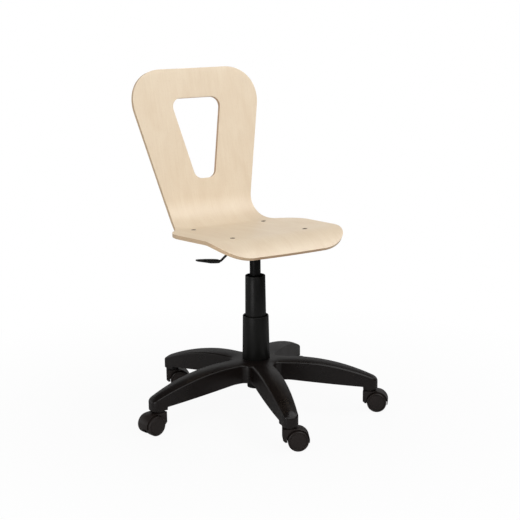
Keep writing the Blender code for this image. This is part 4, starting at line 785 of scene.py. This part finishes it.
# Bronzed steel: a half-dull dark brown skin over the metal.
bronzed_steel = painted_steel("bronzed_steel", "#49372a", "#5e4938", rough=0.40, shine=0.30, peel_mm=1.5)
tilt = Matrix.Rotation(-SEAT_TILT, 4, "X")
for number in range(1, 5):
    low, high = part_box(f"seat_bolt_{number}")
    middle = (low + high) / 2.0
    top = middle + tilt.to_3x3() @ Vector((0.0, 0.0, SCREW_LENGTH / 2.0 + HEAD_PROUD))
    screw = socket_screw()
    bmesh.ops.transform(screw, verts=screw.verts, matrix=Matrix.Translation(top) @ tilt)
    make_piece(f"seat_screw_{number}", screw, bronzed_steel, "seat", [f"seat_bolt_{number}"])
    low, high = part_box(f"seat_nut_{number}")
    nut = hexagon_nut()
    spot = (low + high) / 2.0 + tilt.to_3x3() @ Vector((0.0, 0.0, NUT_TALL / 2.0))
    bmesh.ops.transform(nut, verts=nut.verts, matrix=Matrix.Translation(spot) @ tilt)
    make_piece(f"plate_nut_{number}", nut, zinc_steel, "seat", [f"seat_nut_{number}"])


# Inner pieces: the gas spring's rod, guide and clip, the thrust bearing under its rubber buffer, and the
# caster axles. They are turned steel, plastic and rubber, and keep their CAD shape with the real finish.
# The rubber is dull and black, with the pebble of its mould.
rubber = moulded_nylon("natural_rubber", "#141414", "#1c1b1a", rough=0.7, shine=0.20, grain_mm=1.2)
INNER_FINISH = {"rod_guide": sleeve_plastic, "bump_stop": rubber, "piston_rod": zinc_steel,
                "rod_clip": zinc_steel, "thrust_washer_lower": zinc_steel, "ball_cage": zinc_steel,
                "thrust_washer_upper": zinc_steel}
INNER_FINISH.update({f"caster_{number}_axle": zinc_steel for number in range(1, 6)})
for name, finish in INNER_FINISH.items():
    frame["nodes"][name].material_slots[0].material = finish


# Studio: a wide white paper floor in a white surround. Shiny pieces mirror the surround as a paper backdrop
# shows: pale low down behind, dark in front. A large soft lamp stands high in front, a smaller one overhead,
# a weak one low on the left for the column, and one behind that lights the shell's back without a shine.
FLOOR_HALF = 30.0
studio = bpy.context.scene
floor_shape = bmesh.new()
bmesh.ops.create_grid(floor_shape, x_segments=1, y_segments=1, size=FLOOR_HALF)
floor_mesh = bpy.data.meshes.new("floor")
floor_shape.to_mesh(floor_mesh)
floor_shape.free()
floor = bpy.data.objects.new("floor", floor_mesh)
studio.collection.objects.link(floor)
paper = new_material("white_paper_floor")
tree = paper.node_tree
rays = add(tree, "LightPath", {})
away = add(tree, "VectorMath", {0: add(tree, "TexCoord", {}).outputs["Object"]}, operation="LENGTH")
fade = add(tree, "MapRange", {0: away.outputs["Value"], 1: 0.35, 2: 1.1, 3: 0.94, 4: 1.0})
seen = add(tree, "Math", {0: rays.outputs["Is Camera Ray"], 1: fade.outputs[0]}, operation="MULTIPLY")
glow = add(tree, "Emission", {"Color": (1.0, 1.0, 1.0, 1.0), "Strength": 1.0})
matt = add(tree, "BsdfDiffuse", {"Color": linear("#c4c4c4")})
surface = add(tree, "MixShader", {0: seen.outputs[0], 1: matt.outputs[0], 2: glow.outputs[0]})
add(tree, "OutputMaterial", {0: surface.outputs[0]})
floor_mesh.materials.append(paper)

world = bpy.data.worlds.new("white_surround")
studio.world = world
world.use_nodes = True
tree = world.node_tree
tree.nodes.clear()
rays = add(tree, "LightPath", {})
bearing = add(tree, "SeparateXYZ", {0: add(tree, "TexCoord", {}).outputs["Object"]})
paper_top = add(tree, "MapRange", {0: bearing.outputs["Z"], 1: 0.2, 2: 0.6, 3: 1.0, 4: 0.1})
backdrop = add(tree, "MapRange", {0: bearing.outputs["Y"], 1: -0.1, 2: 0.5, 3: 0.06, 4: paper_top.outputs[0]})
glossy = add(tree, "Math", {0: rays.outputs["Is Glossy Ray"], 1: rays.outputs["Is Transmission Ray"]},
             operation="MAXIMUM")
room = add(tree, "Mix", {0: glossy.outputs[0], 2: 0.37, 3: backdrop.outputs[0]})
level = add(tree, "Mix", {0: rays.outputs["Is Camera Ray"], 2: room.outputs[0], 3: 1.0})
sky = add(tree, "Background", {"Color": (1.0, 1.0, 1.0, 1.0), "Strength": level.outputs[0]})
add(tree, "OutputWorld", {0: sky.outputs[0]})

LAMPS = [("front_lamp", (-0.4, -2.4, 2.2), (0.0, 0.0, 0.45), 3.0, 2.0, 41.0),
         ("overhead_lamp", (1.2, -0.7, 2.4), (0.1, 0.0, 0.45), 1.6, 1.6, 22.5),
         ("left_lamp", (-2.0, -0.9, 0.5), (0.0, 0.0, 0.3), 1.0, 0.9, 12.0),
         ("rear_lamp", (0.3, 2.6, 0.8), (0.0, 0.2, 0.62), 2.4, 1.2, 26.0)]
for name, place, aim, wide, tall, watts in LAMPS:
    lamp_data = bpy.data.lights.new(name, "AREA")
    lamp_data.energy = watts
    lamp_data.shape = "RECTANGLE"
    lamp_data.size = wide
    lamp_data.size_y = tall
    lamp = bpy.data.objects.new(name, lamp_data)
    lamp.location = place
    lamp.rotation_euler = (Vector(aim) - Vector(place)).to_track_quat("-Z", "Y").to_euler()
    lamp.visible_glossy = name != "rear_lamp"
    studio.collection.objects.link(lamp)


# Camera: the photograph's view from the sitter's front right, a little above the seat. Its place, turn and
# lens come from fitting the chair's points to the photograph.
YAW, PITCH, ROLL = math.radians(31.62), math.radians(12.69), math.radians(-0.58)
CAMERA_PLACE, LENS_MM, SENSOR_MM = (-1.5345, -2.5576, 1.0714), 83.82, 36.0
forward = Vector((math.sin(YAW) * math.cos(PITCH), math.cos(YAW) * math.cos(PITCH), -math.sin(PITCH)))
level_right = Vector((math.cos(YAW), -math.sin(YAW), 0.0))
level_up = level_right.cross(forward)
right = level_right * math.cos(ROLL) + level_up * math.sin(ROLL)
up = level_up * math.cos(ROLL) - level_right * math.sin(ROLL)
camera_data = bpy.data.cameras.new("photo_view")
camera_data.sensor_width = SENSOR_MM
camera_data.lens = LENS_MM
camera = bpy.data.objects.new("photo_view", camera_data)
studio.collection.objects.link(camera)
turn = Matrix((right, up, -forward)).transposed().to_4x4()
camera.matrix_world = Matrix.Translation(CAMERA_PLACE) @ turn
studio.camera = camera
studio.view_settings.view_transform = "Standard"
